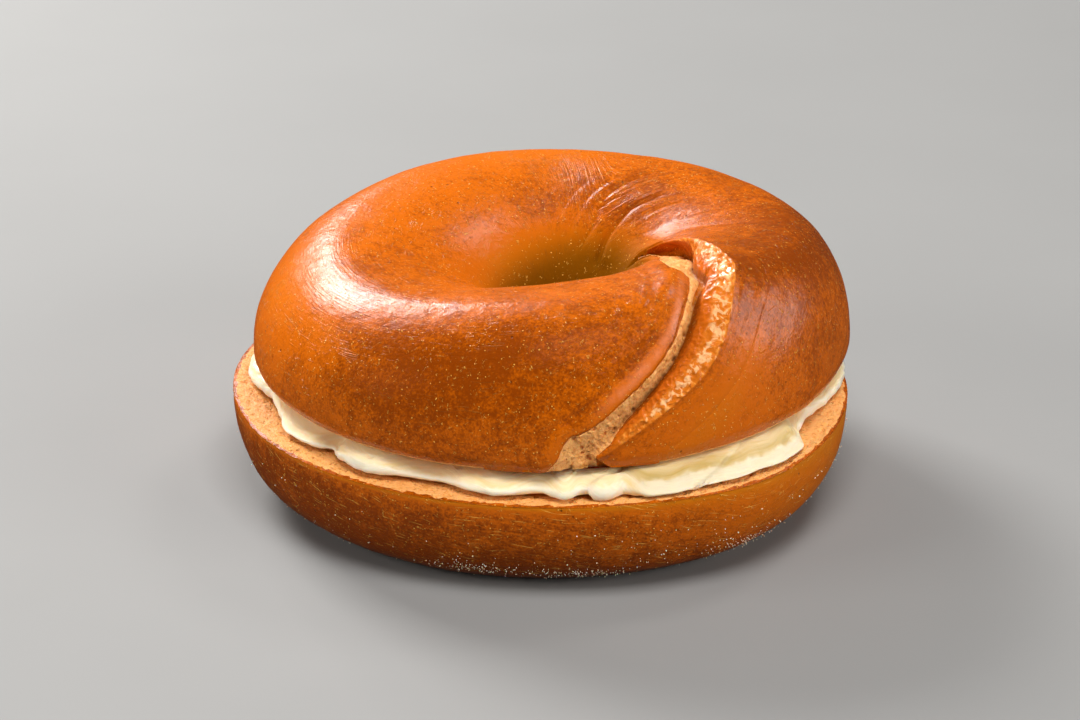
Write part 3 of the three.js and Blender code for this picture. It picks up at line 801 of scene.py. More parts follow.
def topLook(ring, profile, distance, run):
    # what the crust's material reads: the dough's way, how pale it is with painted light and shade, how deep
    # in the hole for the painted shade there, how streaked, how scratched and how dull
    profileDegrees = np.degrees(profile)
    spot = {key: ringSpot(ring, at, width) * bell((profileDegrees - profileAt) / profileWidth)
            for key, (at, width, profileAt, profileWidth) in topSpots.items()}
    inHole = easeStep((profileDegrees - 122) / 30)
    flank = bell((distance - 12) / 6) * easeStep((run - 50) / 18) * easeStep(distance / 3)
    # painted shade: the hole's wall is painted darker downward, first at its back and right
    darkening = profileDegrees - 141 + 18 * ringSpot(ring, 35, 1.2)
    return {
        "flow": topFlow(ring, profile, distance, run),
        # paler in the hole and on the seam's flank, browner on the right shoulder; painted shade on the
        # front, painted light on the left and the back
        "toneAndPaintedLight": (0.55 * inHole + 0.40 * spot["back"] + 0.50 * flank - 0.55 * spot["rightShoulder"]
                 - 0.50 * spot["front"] + 0.45 * spot["left"]),
        "deepShade": 0.94 * easeStep(darkening / 28),
        "drawn": np.maximum(0.7 * spot["streaked"], spot["hood"]),
        "scratched": spot["scratched"],
        "matt": np.maximum(0.75 * np.maximum(spot["besideHood"], spot["tip"]), 0.6 * spot["dullBack"]),
    }


def makeTopHalf():
    # a grid of columns round the ring and rows over its profile, moved out or in by every feature
    first = math.radians(-topHalf["undercut"])
    last = math.pi - first
    profile = crowdedSteps([first, 0.1, 2.2, 2.7, last], [1.1, 1.0, 1.25, 1.0, 0.6], topHalf["domeRows"])
    share = np.arange(topHalf["columns"]) / topHalf["columns"]
    columnShare, rowProfile = np.meshgrid(share, profile, indexing="ij")
    shape = columnShare.shape
    rowProfile = rowProfile.ravel()
    ring = topColumnAngle(columnShare.ravel(), rowProfile)
    base = domePoints(ring, rowProfile)
    normals = surfaceNormals(domePoints, ring, rowProfile)
    line, _ = seamLine()
    distance, run = besideLine(base, normals, line)
    height = sectionHeight(distance, run) + crustRelief(base, normals, distance, run)
    height -= topHalf["foldBed"] * easeStep((insideFold(distance, run) - 0.8) / 1.6)
    aboveCut = base[:, 2] - topHalf["cutHeight"]
    height -= topHalf["nibbled"] * clamp01(softNoise(base, 0.9, 27, 2) + 0.1) * bell(aboveCut / 0.5)
    surface = pushOut(base, normals, height).reshape(*shape, 3)

    # the level cut, from the hole's edge back to the outer edge
    inner, outer = surface[:, -1], surface[:, 0]
    cutShare = np.linspace(0, 1, topHalf["cutRows"] + 2)[1:-1][None, :, None]
    cutFace = inner[:, None] * (1 - cutShare) + outer[:, None] * cutShare
    cutFace[..., 2] = topHalf["cutHeight"]
    points = np.concatenate([surface, cutFace], 1)

    look = topLook(ring, rowProfile, distance, run)
    look["crumb"] = easeStep((0.35 - aboveCut) / 0.25) * 0.8
    for key, values in look.items():
        # the cut face is plain crumb
        grid = values.reshape(*shape, *values.shape[1:])
        onCut = np.full((shape[0], topHalf["cutRows"], *grid.shape[2:]), float(key == "crumb"))
        look[key] = np.concatenate([grid, onCut], 1).reshape(-1, *grid.shape[2:])
    makePiece("topHalf", points.reshape(-1, 3), ringFaces(shape[0], points.shape[1]), topCrust,
              "top_half", look)


seamFold = {
    "columns": 520,
    "rows": 184,
    "backDepth": 5,  # its hidden back lies this deep, in mm
    "pores": 0.55,
    "spongy": 0.34,
    "fibres": 0.30,
    "wrinkles": 0.42,
    "rim": 0.10,  # a fine rim along the lip, and a groove beside it
    "rimGroove": 0.09,
    # Its ragged lines: the corner of the section that wanders most, over how many corners, by how many mm,
    # and how far its noise is rolled along the seam. Some wander across the seam and some up and down.
    "raggedAcross": [(14, 1.1, 0.45, 0), (8.5, 1.0, 0.30, 37)],
    "raggedUp": [(11, 1.5, 0.5, 61)],
    "glued": 0.4,  # how deep it dives into the dome's skin at its outline
    # Places across the section are counted by its corners: how closely its rows stand at some of them.
    "rowPlaces": [0, 3, 4, 7.5, 9, 17.5, 18.5, 21, 22],
    "density": [0.8, 1.5, 1.8, 2.0, 3.6, 3.6, 2.0, 1.0, 0.2, 0.2],
    # mm along the seam, and the places where the torn face starts and ends and the wet band starts
    "tornFrom": ([12, 32, 38, 45, 58, 66, 80, 92], [5.2, 5.4, 7.4, 8.7, 9.0, 8.8, 8.5, 8.2]),
    "tornTo": ([0, 30, 60, 80, 86, 92], [11.6, 12.2, 12.3, 12.8, 14.5, 17.2]),
    "wetFrom": ([13, 23, 80, 92], [17.6, 13.5, 13.2, 13.8]),
}


def ontoDome(target):
    # ring and profile angles of the nearest place on the dome, by a few Newton steps
    centre = np.array([*topHalf["centre"], topHalf["cutHeight"] + topHalf["widestHeight"]])
    apart = target - centre
    ring = np.arctan2(apart[:, 1], apart[:, 0])
    outward = np.linalg.norm(apart[:, :2], axis=1) - topHalf["middleRadius"]
    profile = np.arctan2(apart[:, 2] / topHalf["domeHeight"], outward / 18)
    least, most = math.radians(-topHalf["undercut"]), math.radians(180 + topHalf["undercut"])
    step = 1e-4
    for _ in range(9):
        here = domePoints(ring, profile)
        byRing = (domePoints(ring + step, profile) - here) / step
        byProfile = (domePoints(ring, profile + step) - here) / step
        miss = target - here
        # the least squares' two equations for both angles, solved with steps of at most 0.3
        a, b, c = (byRing ** 2).sum(1), (byRing * byProfile).sum(1), (byProfile ** 2).sum(1)
        p, q = (miss * byRing).sum(1), (miss * byProfile).sum(1)
        whole = a * c - b * b + 1e-6
        ring = ring + np.clip((c * p - b * q) / whole, -0.3, 0.3)
        profile = np.clip(profile + np.clip((a * q - b * p) / whole, -0.3, 0.3), least, most)
    return ring, profile


def foldSection(run):
    # the seam's section closed by a hidden back, as distances and heights of its corners
    distances, heights = seamSection(run)
    ragged = softNoise(np.stack([run, 0 * run, 0 * run], -1), 1.7, 25, 3)
    corner = np.arange(distances.shape[1])
    for measure, lines in ((distances, seamFold["raggedAcross"]), (heights, seamFold["raggedUp"])):
        for at, width, most, rolled in lines:
            measure += most * np.roll(ragged, rolled)[:, None] * bell((corner - at) / width)
    # both outer corners are doubled, so that the hidden back doesn't pull the skin down
    first, last, back = distances[:, :1], distances[:, -1:], -seamFold["backDepth"] + 0 * distances[:, :1]
    distances = np.concatenate([distances, last, last, (first + last) / 2, first, first], 1)
    heights = np.concatenate([heights, 0 * back, back, back, back, 0 * back], 1)
    return np.stack([distances, heights], -1)


def foldZones(place, run):
    # where along and across the seam the dough is torn, wet, glassy and satin, where shade is painted into
    # the crevice, and so on, from 0 to 1
    tornFrom, tornTo, wetFrom = (np.interp(run, *seamFold[key]) for key in ("tornFrom", "tornTo", "wetFrom"))
    glassy = bell((run - 47) / 8) * band(place, 10.4, 12.8, 0.6, 0.8)
    return {
        "torn": band(place, tornFrom, tornTo, 0.5, 0.5),
        "wet": band(place, wetFrom, 17.4, 0.5, 0.4) * easeStep((88 - run) / 8),
        "glassy": glassy,
        "satin": bell((run - 25) / 7) * easeStep((place - 14.8) / 1.2),
        # painted shade down in the crevice
        "paintedShade": 0.85 * bell((place - 12.2) / 0.9) * band(run, 9, 90, 8, 16) * (1 - 0.7 * glassy),
        "rust": bell((place - 14.0) / 1.1) * easeStep((run - 24) / 14),
        # cream flakes and painted highlights toward the lip
        "flakesAndHighlight": (0.44 * bell((place - 15.8) / 1.4) * band(run, 28, 86, 8, 12)
                  + 0.5 * bell((place - 16.6) / 1.0) * bell((run - 24) / 4.5)),
        # the tongue's band: a painted pinkish sheen on its smooth taut skin, which is also paler than the
        # skin around it
        "paintedSheen": 0.70 * bell((place - 6.2) / 0.8) * band(run, 44, 86, 12, 12),
        "paler": 0.35 * bell((place - 7) / 1.5) * easeStep((run - 60) / 10),
    }


def foldRelief(base, place, run, distance, height, zone):
    # spongy pores and fibres on the torn face, wrinkles on the wet band, and a fine rim along the lip
    pits = cellPits(base, 2.0, 8)
    spongy = seamFold["spongy"] * softNoise(base, 1.3, 9, 4, 0.65)
    spongy -= seamFold["pores"] * easeStep((0.30 - pits) / 0.12)
    fibres = seamFold["fibres"] * softNoise(np.stack([distance / 2.6, run, height], -1), 0.6, 12, 2)
    wrinkled = 1 - 2.6 * np.abs(softNoise(base, 1.7, 19, 2))
    pinched = 1 - 2.6 * np.abs(softNoise(base + 40, 0.8, 20, 1))
    wrinkles = seamFold["wrinkles"] * (clamp01(wrinkled) + 0.6 * clamp01(pinched) - 0.5)
    return (zone["torn"] * (1 - zone["glassy"]) * (spongy + fibres)
            + zone["wet"] * (1 - 0.85 * zone["satin"]) * wrinkles
            + seamFold["rim"] * bell((place - 17.2) / 0.35)
            - seamFold["rimGroove"] * bell((place - 18.0) / 0.3))


def makeSeamFold():
    # a fine skin over the seam: a smooth closed section carried along the seam line, so that the lip
    # can lean over the crevice; it dives into the dome's own skin at its outline
    columns, rows = seamFold["columns"], seamFold["rows"]
    line, profile = seamLine()
    steps = runFrom(line, 0)
    run = crowdedSteps([seam["foldFrom"] - 0.5, 40, 84, 89, steps[-1]], [0.9, 1.0, 1.0, 1.8, 2.2], columns)
    centre = np.stack([np.interp(run, steps, line[:, axis]) for axis in range(3)], -1)
    lineProfile = np.interp(run, steps, profile)
    normal = surfaceNormals(domePoints, seamAngle(lineProfile), lineProfile)
    across = unit(np.cross(normal, unit(np.gradient(centre, axis=0))))
    corners = foldSection(run)
    places = crowdedSteps(seamFold["rowPlaces"] + [corners.shape[1]], seamFold["density"], rows, closed=True)
    section = closedSpline(corners, places)
    height = section[..., 1].ravel()
    place = np.tile(places, columns)
    target = (centre[:, None] + across[:, None] * section[..., :1]).reshape(-1, 3)
    ring, profile = ontoDome(target)
    base = domePoints(ring, profile)
    normals = surfaceNormals(domePoints, ring, profile)
    distance, run = besideLine(base, normals, line)

    zone = foldZones(place, run)
    relief = (crustRelief(base, normals, distance, run) * (1 - 0.6 * zone["torn"])
              + foldRelief(base, place, run, distance, height, zone))
    # toward its outline it takes the dome's own section, and its hidden back stays as it is
    visible = easeStep((22.2 - place) / 0.6)
    inside = insideFold(distance, run)
    shared = easeStep((4.2 - inside) / 2.6) * visible
    height = height * (1 - shared) + sectionHeight(distance, run) * shared + relief * visible
    height -= seamFold["glued"] * easeStep((0.8 - inside) / 0.8) * visible
    points = pushOut(base, normals, height)
    points[:, 2] = np.maximum(points[:, 2], topHalf["cutHeight"])
    points = points.reshape(columns, rows, 3)
    points[-1, :, 2] = topHalf["cutHeight"]

    # quads round each section, and a zip of quads over both ends
    faces = ringFaces(columns, rows).reshape(columns, rows, 4)[:-1].reshape(-1, 4)
    zipped = np.arange(rows // 2 - 1)
    zipped = np.stack([zipped, rows - 1 - zipped, rows - 2 - zipped, zipped + 1], -1)
    faces = np.concatenate([faces, zipped[:, ::-1], zipped + (columns - 1) * rows])
    look = topLook(ring + wholeTurn * (distance < 0), profile, distance, run)
    wet, torn = np.maximum(zone["wet"], zone["glassy"]), zone["torn"] * (1 - zone["glassy"])
    makePiece("seamFold", points.reshape(-1, 3), faces, topCrust, None, {
        "flow": look["flow"], "toneAndPaintedLight": look["toneAndPaintedLight"] + zone["paler"], "drawn": look["drawn"],
        "deepShade": look["deepShade"] * (1 - torn) * (1 - wet), "matt": look["matt"] * (1 - wet),
        "crumb": torn, "wet": wet,
        **{key: zone[key] for key in ("paintedShade", "rust", "flakesAndHighlight", "paintedSheen")}})


makeTopHalf()
makeSeamFold()


bottomHalf = {
    "columns": 560,
    "rimRows": 6,
    "wallRows": 110,
    "cutRows": 52,
    "centre": (-0.1, -0.5),
    "middleRadius": 38.8,
    "outerRadius": 55.4,
    "holeRadius": 9,
    "holeShift": (3.6, 2.2),  # the hole lies this far from the middle, in mm
    "widestHeight": 17.3,
    "cutHeight": 18.6,
    "roundness": 2.24,
    "restOutside": 5.5,  # how far the flat underneath reaches outside the middle
    "outerWaves": [(2, -0.16, -0.7), (3, -0.28, -0.47)],
    "bulge": 1.6,  # the front right is fuller
    "bulgeAt": -50,
    "bulgeWidth": 18,
    "rimRound": 0.45,  # how far the cut's outer edge is rounded down
    "nibs": 0.30,  # how much that edge is nibbled
    "pores": 0.5,
    "crumbLumps": 0.30,
    "lumps": 0.30,  # the crust's slow and fine unevenness
    "skin": 0.08,
}


def bottomWall(ringAngle, profileAngle):
    # profile angle 0 is widest outside, 90 degrees is underneath and 180 in the hole
    middle, outer, hole = bottomHalf["middleRadius"], bottomHalf["outerRadius"], bottomHalf["holeRadius"]
    roundness = bottomHalf["roundness"]
    power = 2 / roundness
    halfWidth = np.where(np.cos(profileAngle) > 0, outer - middle, middle - hole)
    radius = middle + halfWidth * signedPower(np.cos(profileAngle), power)
    restShare = bottomHalf["restOutside"] / (outer - middle)
    depthAtRest = (1 - restShare ** roundness) ** (1 / roundness)
    depth = np.minimum(np.abs(np.sin(profileAngle)) ** power / depthAtRest, 1)
    outerShare = clamp01((radius - middle) / (outer - middle))
    innerShare = clamp01((middle - radius) / (middle - hole))
    bulgeAt, bulgeWidth = bottomHalf["bulgeAt"], math.radians(bottomHalf["bulgeWidth"])
    bulge = bottomHalf["bulge"] * ringSpot(ringAngle, bulgeAt, bulgeWidth)
    radius = radius + outerShare * (waves(bottomHalf["outerWaves"], ringAngle) + bulge)
    centre = [at + innerShare * shift for at, shift in zip(bottomHalf["centre"], bottomHalf["holeShift"])]
    return ringPoints(centre, radius, ringAngle, bottomHalf["widestHeight"] * (1 - depth))


def bottomGrid():
    # rows run from the cut's outer rim over the cut face to the hole, down its wall and underneath
    columns, cut = bottomHalf["columns"], bottomHalf["cutHeight"]
    ring = wholeTurn * np.arange(columns) / columns
    outer = bottomWall(ring, np.zeros(columns))
    inner = bottomWall(ring, np.full(columns, math.pi))
    outer[:, 2] = inner[:, 2] = cut
    share = crowdedSteps([0, 0.14, 0.3, 1], [4.5, 3.5, 1.0, 0.6], bottomHalf["cutRows"])
    share = (share * (1 - 0.012) + 0.006)[None, :, None]
    cutFace = outer[:, None] * (1 - share) + inner[:, None] * share
    profile = crowdedSteps([0, 1.2, 1.6, math.pi], [1.4, 1.0, 0.6, 0.6], bottomHalf["wallRows"])[::-1]
    wall = bottomWall(*np.meshgrid(ring, profile, indexing="ij"))
    lift = np.linspace(0, 1, bottomHalf["rimRows"] + 2)[1:-1]
    rim = wall[:, -1][:, None] * np.ones((1, len(lift), 1))
    rim[..., 2] = wall[:, -1][:, None, 2] * (1 - lift) + (cut - 0.15) * lift
    return ring, np.concatenate([cutFace, wall, rim], 1)


def makeBottomHalf():
    ring, base = bottomGrid()
    shape = base.shape[:2]
    ring = np.repeat(ring, shape[1])
    flat, normals = base.reshape(-1, 3), gridNormals(base).reshape(-1, 3)
    onCut = np.zeros(shape)
    onCut[:, :bottomHalf["cutRows"]] = 1
    onCut = onCut.ravel()
    fromRim = np.linalg.norm(base - base[:, :1], axis=-1).ravel() * onCut

    # pores and lumps in the cut face, which ends in a nibbled rounded rim, and an uneven crust
    crumbHeight = -bottomHalf["pores"] * easeStep((0.32 - cellPits(flat, 1.9, 40)) / 0.14)
    crumbHeight -= bottomHalf["crumbLumps"] * (softNoise(flat, 1.3, 43, 4, 0.65) + 0.6)
    nibs = softNoise(flat * np.array([1, 1, 0]), 1.1, 45, 3, 0.6)
    rimHeight = bottomHalf["nibs"] * nibs - bottomHalf["rimRound"]
    crumbHeight = crumbHeight * easeStep(fromRim / 0.8) + rimHeight * bell(fromRim / 0.5)
    crustHeight = (bottomHalf["lumps"] * (softNoise(flat, 14, 31, 2) - 0.9)
                   + bottomHalf["skin"] * softNoise(flat, 2.4, 33, 3))
    aboveRest = easeStep((flat[:, 2] - 0.02) / 1.5)
    height = onCut * crumbHeight + (1 - onCut) * aboveRest * crustHeight
    push = np.where(onCut[:, None] > 0, np.array([0, 0, 1.0]), normals)

    # the dough was drawn round the ring and slightly upward; paler toward the cut, and painted light and
    # shade: lighter on the right, darker low down and on the left
    around = turnedApart(ring, math.radians(-90)) * bottomHalf["outerRadius"]
    run = runFrom(base, 1).ravel()
    flow = np.stack([around, run + 0.22 * around + 2.2 * softNoise(flat, 9, 47, 2), 0 * run], -1)
    level = flat[:, 2]
    toneAndPaintedLight = 0.25 * easeStep((level - 14) / 4) + 0.7 * easeStep((level - 17) / 1.2)
    toneAndPaintedLight += 0.55 * ringSpot(ring, -22, 0.8)
    # painted shade low down and on the left
    toneAndPaintedLight -= 0.50 * easeStep((11 - level) / 10) + 0.22 * ringSpot(ring, -150, 0.6)
    makePiece("bottomHalf", flat + push * height[:, None], ringFaces(*shape), bottomCrust,
              "bottom_half", {
                  "flow": flow, "toneAndPaintedLight": toneAndPaintedLight * (1 - onCut), "drawn": np.full(len(flat), 0.5),
                  "crumb": onCut * easeStep((fromRim - 0.35 + 0.45 * nibs) / 0.4),
                  # painted shade: the crumb is painted darker on the left
                  "paintedShade": 0.24 * onCut * ringSpot(ring, -165, 0.6)})


makeBottomHalf()


spread = {
    "columns": 640,
    "rows": 130,
    "centre": (0.8, 0.2),
    "holeRadius": 13.5,
    "holeShift": (3.2, 2),
    "reach": 52.4,  # the edge's radius before lobes and smear
    "edgeHeight": 2.5,
    "edgeRound": 1.1,
    "slopeWidth": 7,
    "clearance": 0.1,  # to each of the halves
    "edgeWander": 0.45,
    "rimWander": 0.20,
    "swirls": 0.18,
    "lumps": 0.14,
    "holes": 0.5,
    # angle round the ring, width in degrees, reach in mm, rise of the edge in mm
    "lobes": [
        (-178, 7, 0.9, 0.3), (-162, 8, -2.1, 0.4), (-146, 5, 0.8, -0.6), (-136.5, 2.5, -2.0, -0.9),
        (-126, 7, 1.7, 0.9), (-112.5, 5, -1.4, -0.7), (-99, 5, 1.8, 0.0), (-87, 2.6, 2.3, 0.0),
        (-80, 3.2, 2.0, 0.3), (-48, 10, 0.8, 0.5), (-25, 9, -1.8, 0.4), (-3, 8, 0.9, 0.5),
        (22, 12, 1.2, 0.6), (48, 9, -1.3, -0.2), (71, 10, 0.6, 0.5), (97, 9, -1.0, -0.3),
        (122, 11, 1.0, 0.6), (149, 9, -1.2, 0.2),
    ],
    # on the front right it is smeared over the rim and fills the gap up to the top half
    "smear": {"from": -77, "to": -31.5, "reach": 3.4, "rise": -1.3, "slope": 4.6, "startWidth": 6,
              "endWidth": 7, "rimWidth": 2.3},
    # knife strokes in plan: a path in mm, its depth, width and the step from its right side to its left
    "strokes": [
        ([(36.8, -29), (36.5, -32.4), (34.7, -37.8), (32.8, -41.8), (30.1, -45.9), (26.5, -49.3)],
         0.35, 0.45, 0.45),
        ([(7.1, -53.5), (9.8, -51.1), (12.8, -49.1), (16.6, -45.1), (20.9, -42.7)], 0.15, 0.6, 0.7),
        ([(16, -52.5), (22, -48.5), (28, -43.5)], 0.16, 0.5, 0.1),
        ([(-36, -37), (-30.9, -41.0), (-23.9, -45.4)], 0.2, 0.6, -0.15),
    ],
    "noiseRadius": 50,  # the edge's patterns are laid out on a circle of this radius
}


def besidePath(points, path):
    # signed distance in plan from a path of straight legs, positive on its right, and how far past its ends
    best = np.full(len(points), 1e9)
    signed, past = np.zeros(len(points)), np.zeros(len(points))
    for start, end in zip(path[:-1], path[1:]):
        leg = end - start
        length = np.linalg.norm(leg)
        share = ((points - start) @ leg) / (leg @ leg)
        foot = start + clamp01(share)[:, None] * leg
        far = np.linalg.norm(points - foot, axis=1)
        nearer = far < best
        right = (points - start) @ np.array([leg[1], -leg[0]]) / length
        beyond = np.maximum(np.maximum(-share, share - 1), 0) * length
        best = np.where(nearer, far, best)
        signed, past = np.where(nearer, right, signed), np.where(nearer, beyond, past)
    return signed, past


def spreadOutline(angle, low):
    # for each angle how far the edge reaches, how high its rim lies and how much it is smeared
    edge = np.full(len(angle), float(spread["reach"]))
    rim = np.full(len(angle), low + spread["edgeHeight"])
    for at, width, further, higher in spread["lobes"]:
        nearness = ringSpot(angle, at, math.radians(width))
        edge += further * nearness
        rim += higher * nearness
    smear = spread["smear"]
    turned = np.degrees(turnedApart(angle, 0.0))
    smeared = band(turned, smear["from"], smear["to"], smear["startWidth"], smear["endWidth"])
    circle = np.stack([np.cos(angle), np.sin(angle), 0 * angle], -1) * spread["noiseRadius"]
    edge += smear["reach"] * smeared + spread["edgeWander"] * softNoise(circle, 3.2, 61, 2)
    rim += smear["rise"] * smeared + spread["rimWander"] * softNoise(circle, 5.0, 63, 2)
    return edge, rim, smeared


def spreadMarks(base, angle, run):
    # slow swirls, fine lumps, small holes and the knife's strokes, in mm
    ones = np.ones(run.shape)
    swirl = np.stack([np.cos(angle)[:, None] * spread["noiseRadius"] * ones,
                      np.sin(angle)[:, None] * spread["noiseRadius"] * ones, run * 5], -1)
    marks = spread["swirls"] * softNoise(swirl, 5.5, 71, 2) + spread["lumps"] * softNoise(base, 1.6, 73, 3)
    marks -= spread["holes"] * easeStep((0.16 - cellPits(base, 4.2, 77)) / 0.08)
    for path, depth, width, step in spread["strokes"]:
        aside, past = besidePath(base[..., :2].reshape(-1, 2), np.array(path, float))
        side = easeStep(aside / width) * bell(np.maximum(aside, 0) / 6)
        stroke = (step * side - depth * bell(aside / width)) * bell(past / 1.5)
        marks += stroke.reshape(run.shape)
    return marks


def makeSpread():
    # each section is a smooth closed curve of radius and height, steered by eleven corners
    angle = wholeTurn * np.arange(spread["columns"]) / spread["columns"]
    low = bottomHalf["cutHeight"] + spread["clearance"]
    high = topHalf["cutHeight"] - spread["clearance"]
    edge, rim, smeared = spreadOutline(angle, low)
    smear, rounding = spread["smear"], spread["edgeRound"]
    slope = spread["slopeWidth"] + (smear["slope"] - spread["slopeWidth"]) * smeared
    hole, lowLine, highLine = (np.full(len(angle), float(size)) for size in (spread["holeRadius"], low, high))
    corners = [
        (hole, highLine), (hole - rounding, (lowLine + highLine) / 2), (hole, lowLine),
        ((hole + edge) / 2, lowLine), (edge - rounding, lowLine), (edge + 0.2, lowLine + rounding * 0.7),
        (edge + 0.1, rim - rounding / 2), (edge - rounding, rim + 0.1),
        (edge - slope / 2, (rim + high) / 2), (edge - slope, highLine), ((hole + edge) / 2, highLine),
    ]
    corners = np.stack([np.stack(pair, -1) for pair in corners], 1)
    places = crowdedSteps([0, 2, 3, 3.7, 4, 9, 9.5, 10.4, 11], [1, 1, 0.3, 0.4, 2.6, 2.6, 1.0, 0.3, 0.8],
                          spread["rows"], closed=True)
    section = closedSpline(corners, places)
    radius, height = section[..., 0], section[..., 1]
    nearHole = 1 - clamp01((radius - hole[:, None]) / (edge - hole)[:, None])
    centre = [at + nearHole * shift for at, shift in zip(spread["centre"], spread["holeShift"])]
    base = ringPoints(centre, radius, angle[:, None], height)
    run = runFrom(section, 1)
    onEdge = band(places, 4.0, 9.2, 0.6, 1.2)[None, :]
    points = base + gridNormals(base) * (spreadMarks(base, angle, run) * onEdge)[..., None]
    # nothing rises into the top half nor sinks into the bottom half
    points[..., 2] = np.clip(points[..., 2], low - 0.05, high + 0.05)

    flow = np.stack([angle[:, None] * spread["noiseRadius"] * np.ones(run.shape), run, 0 * run], -1)
    # painted light: the outer rim's side is painted whitest where the lamps fall on it, and on the smear the
    # rim is a whiter torn strip
    fromEdge = edge[:, None] - radius - 0.5 * softNoise(base, 1.5, 81, 3, 0.6)
    smeared = smeared[:, None]
    strip = easeStep((smear["rimWidth"] - fromEdge) / 0.8) * smeared
    litRimAndStrip = np.maximum(bell((places - 5.4) / 1.0)[None, :] * (1 - smeared), strip)
    yellow = smeared * (0.95 - 0.6 * strip) * onEdge
    makePiece("spreadLayer", points.reshape(-1, 3), ringFaces(*run.shape), creamSpread, "spread",
              {"flow": flow.reshape(-1, 3), "rim": litRimAndStrip.ravel(), "yellow": yellow.ravel()})


makeSpread()


flour = {
    "size": (0.06, 0.15),  # half width of a grain, in mm
    # ring angle, its spread, angle below the widest line, its spread, and how many grains
    "drifts": [
        (-104, 4.5, 44, 4, 120), (-84, 6, 47, 4, 140), (-50, 5, 36, 5, 110), (-70, 22, 34, 14, 110),
        (-30, 14, 12, 18, 50), (-140, 18, 34, 16, 40), (120, 60, 40, 12, 120),
    ],
    "range": (12, 62),  # the least and the most of those angles below the widest line
    "standing": 0.35,  # how far out of the crust a grain's middle stands, in half widths
    "look": {"darker": tint(0.80, 0.62, 0.40), "lighter": tint(0.93, 0.86, 0.74),
             "clouds": {"size": 1.5, "layers": 2, "between": (0.35, 0.65)},
             "surface": {"Roughness": 0.6, "Subsurface Weight": 0.2, "Subsurface Scale": 0.0005}},
}


def lumpShape():
    # an octahedron with each edge halved and pushed out to a ball
    corners = np.array([(1, 0, 0), (0, 1, 0), (-1, 0, 0), (0, -1, 0), (0, 0, 1), (0, 0, -1)], float)
    faces = []
    points = [tuple(corner) for corner in corners]
    for k in range(4):
        for first, second, third in ((k, (k + 1) % 4, 4), ((k + 1) % 4, k, 5)):
            trio = [corners[first], corners[second], corners[third]]
            halves = [tuple(unit((trio[i] + trio[(i + 1) % 3])[None])[0].round(6)) for i in range(3)]
            points += [half for half in halves if half not in points]
            ends = [points.index(tuple(corner)) for corner in trio]
            middle = [points.index(half) for half in halves]
            faces += [(ends[0], middle[0], middle[2]), (middle[0], ends[1], middle[1]),
                      (middle[2], middle[1], ends[2]), tuple(middle)]
    return np.array(points), np.array(faces)


def makeFlour():
    # small lumps of eighteen points resting on the bottom half's side, all in one mesh
    random = np.random.default_rng(12)
    places = np.concatenate([
        np.stack([random.normal(ring, wide, count), random.normal(low, tall, count)], -1)
        for ring, wide, low, tall, count in flour["drifts"]])
    ring, profile = np.radians(places[:, 0]), np.radians(np.clip(places[:, 1], *flour["range"]))
    base = bottomWall(ring, profile)
    normals = -surfaceNormals(bottomWall, ring, profile, 1e-3)
    unitLump, lumpFaces = lumpShape()
    size = random.uniform(*flour["size"], len(base)) * random.uniform(0.6, 1.0, len(base))
    jitter = random.uniform(0.75, 1.2, (len(base), len(unitLump), 1))
    centres = base + normals * (flour["standing"] * size)[:, None]
    points = centres[:, None] + unitLump * jitter * size[:, None, None]
    faces = lumpFaces + len(unitLump) * np.arange(len(base))[:, None, None]
    flourWhite = cloudyMaterial("flourWhite", flour["look"])
    makePiece("flourGrains", points.reshape(-1, 3), faces.reshape(-1, 3), flourWhite)


makeFlour()


# The camera looks along +Y at a point given in mm, from a distance in mm and an elevation in degrees.
view = {
    "aim": (-0.3, -1.35, 22.0),
    "distance": 700,
    "elevation": 23.11,
    "lens": 130.1,
    "sensor": 36,
}


def makeCamera():
    camera = bpy.data.objects.new("camera", bpy.data.cameras.new("camera"))
    bpy.context.scene.collection.objects.link(camera)
    tilt = math.radians(view["elevation"])
    back = Vector((0, -math.cos(tilt), math.sin(tilt))) * view["distance"]
    camera.location = (Vector(view["aim"]) + back) * mm
    camera.rotation_euler = (-back).to_track_quat("-Z", "Y").to_euler()
    camera.data.lens = view["lens"]
    camera.data.sensor_width = view["sensor"]
    camera.data.clip_start = 0.01
    bpy.context.scene.camera = camera


stageFloor = {
    "sides": 64,
    "radii": (100, 300, 900, 2700, 8000),  # its rings, in mm
    "look": {"darker": tint(0.257, 0.257, 0.255), "lighter": tint(0.263, 0.263, 0.261),
             "clouds": {"size": 60, "layers": 3, "between": (0.3, 0.7)},
             "surface": {"Roughness": 0.7, "Specular IOR Level": 0.25}},
}


def makeFloor():
    # a plain disc, its rings getting wider outward
    sides = stageFloor["sides"]
    turns = wholeTurn * np.arange(sides) / sides
    points = [np.zeros((1, 3))]
    points += [ringPoints((0, 0), radius, turns, 0 * turns) for radius in stageFloor["radii"]]
    side = np.arange(sides)
    beside = (side + 1) % sides
    faces = [(0, 1 + here, 1 + there) for here, there in zip(side.tolist(), beside.tolist())]
    for ring in range(len(stageFloor["radii"]) - 1):
        start = 1 + sides * ring
        faces += (start + np.stack([side, sides + side, sides + beside, beside], -1)).tolist()
    mesh = bpy.data.meshes.new("paleFloor")
    mesh.from_pydata((np.concatenate(points) * mm).tolist(), [], faces)
    mesh.materials.append(cloudyMaterial("paleFloor", stageFloor["look"]))
    floor = bpy.data.objects.new("paleFloor", mesh)
    bpy.context.scene.collection.objects.link(floor)
    floor.visible_glossy = False  # the crust's gloss shows the lamps and the dim room, not the floor


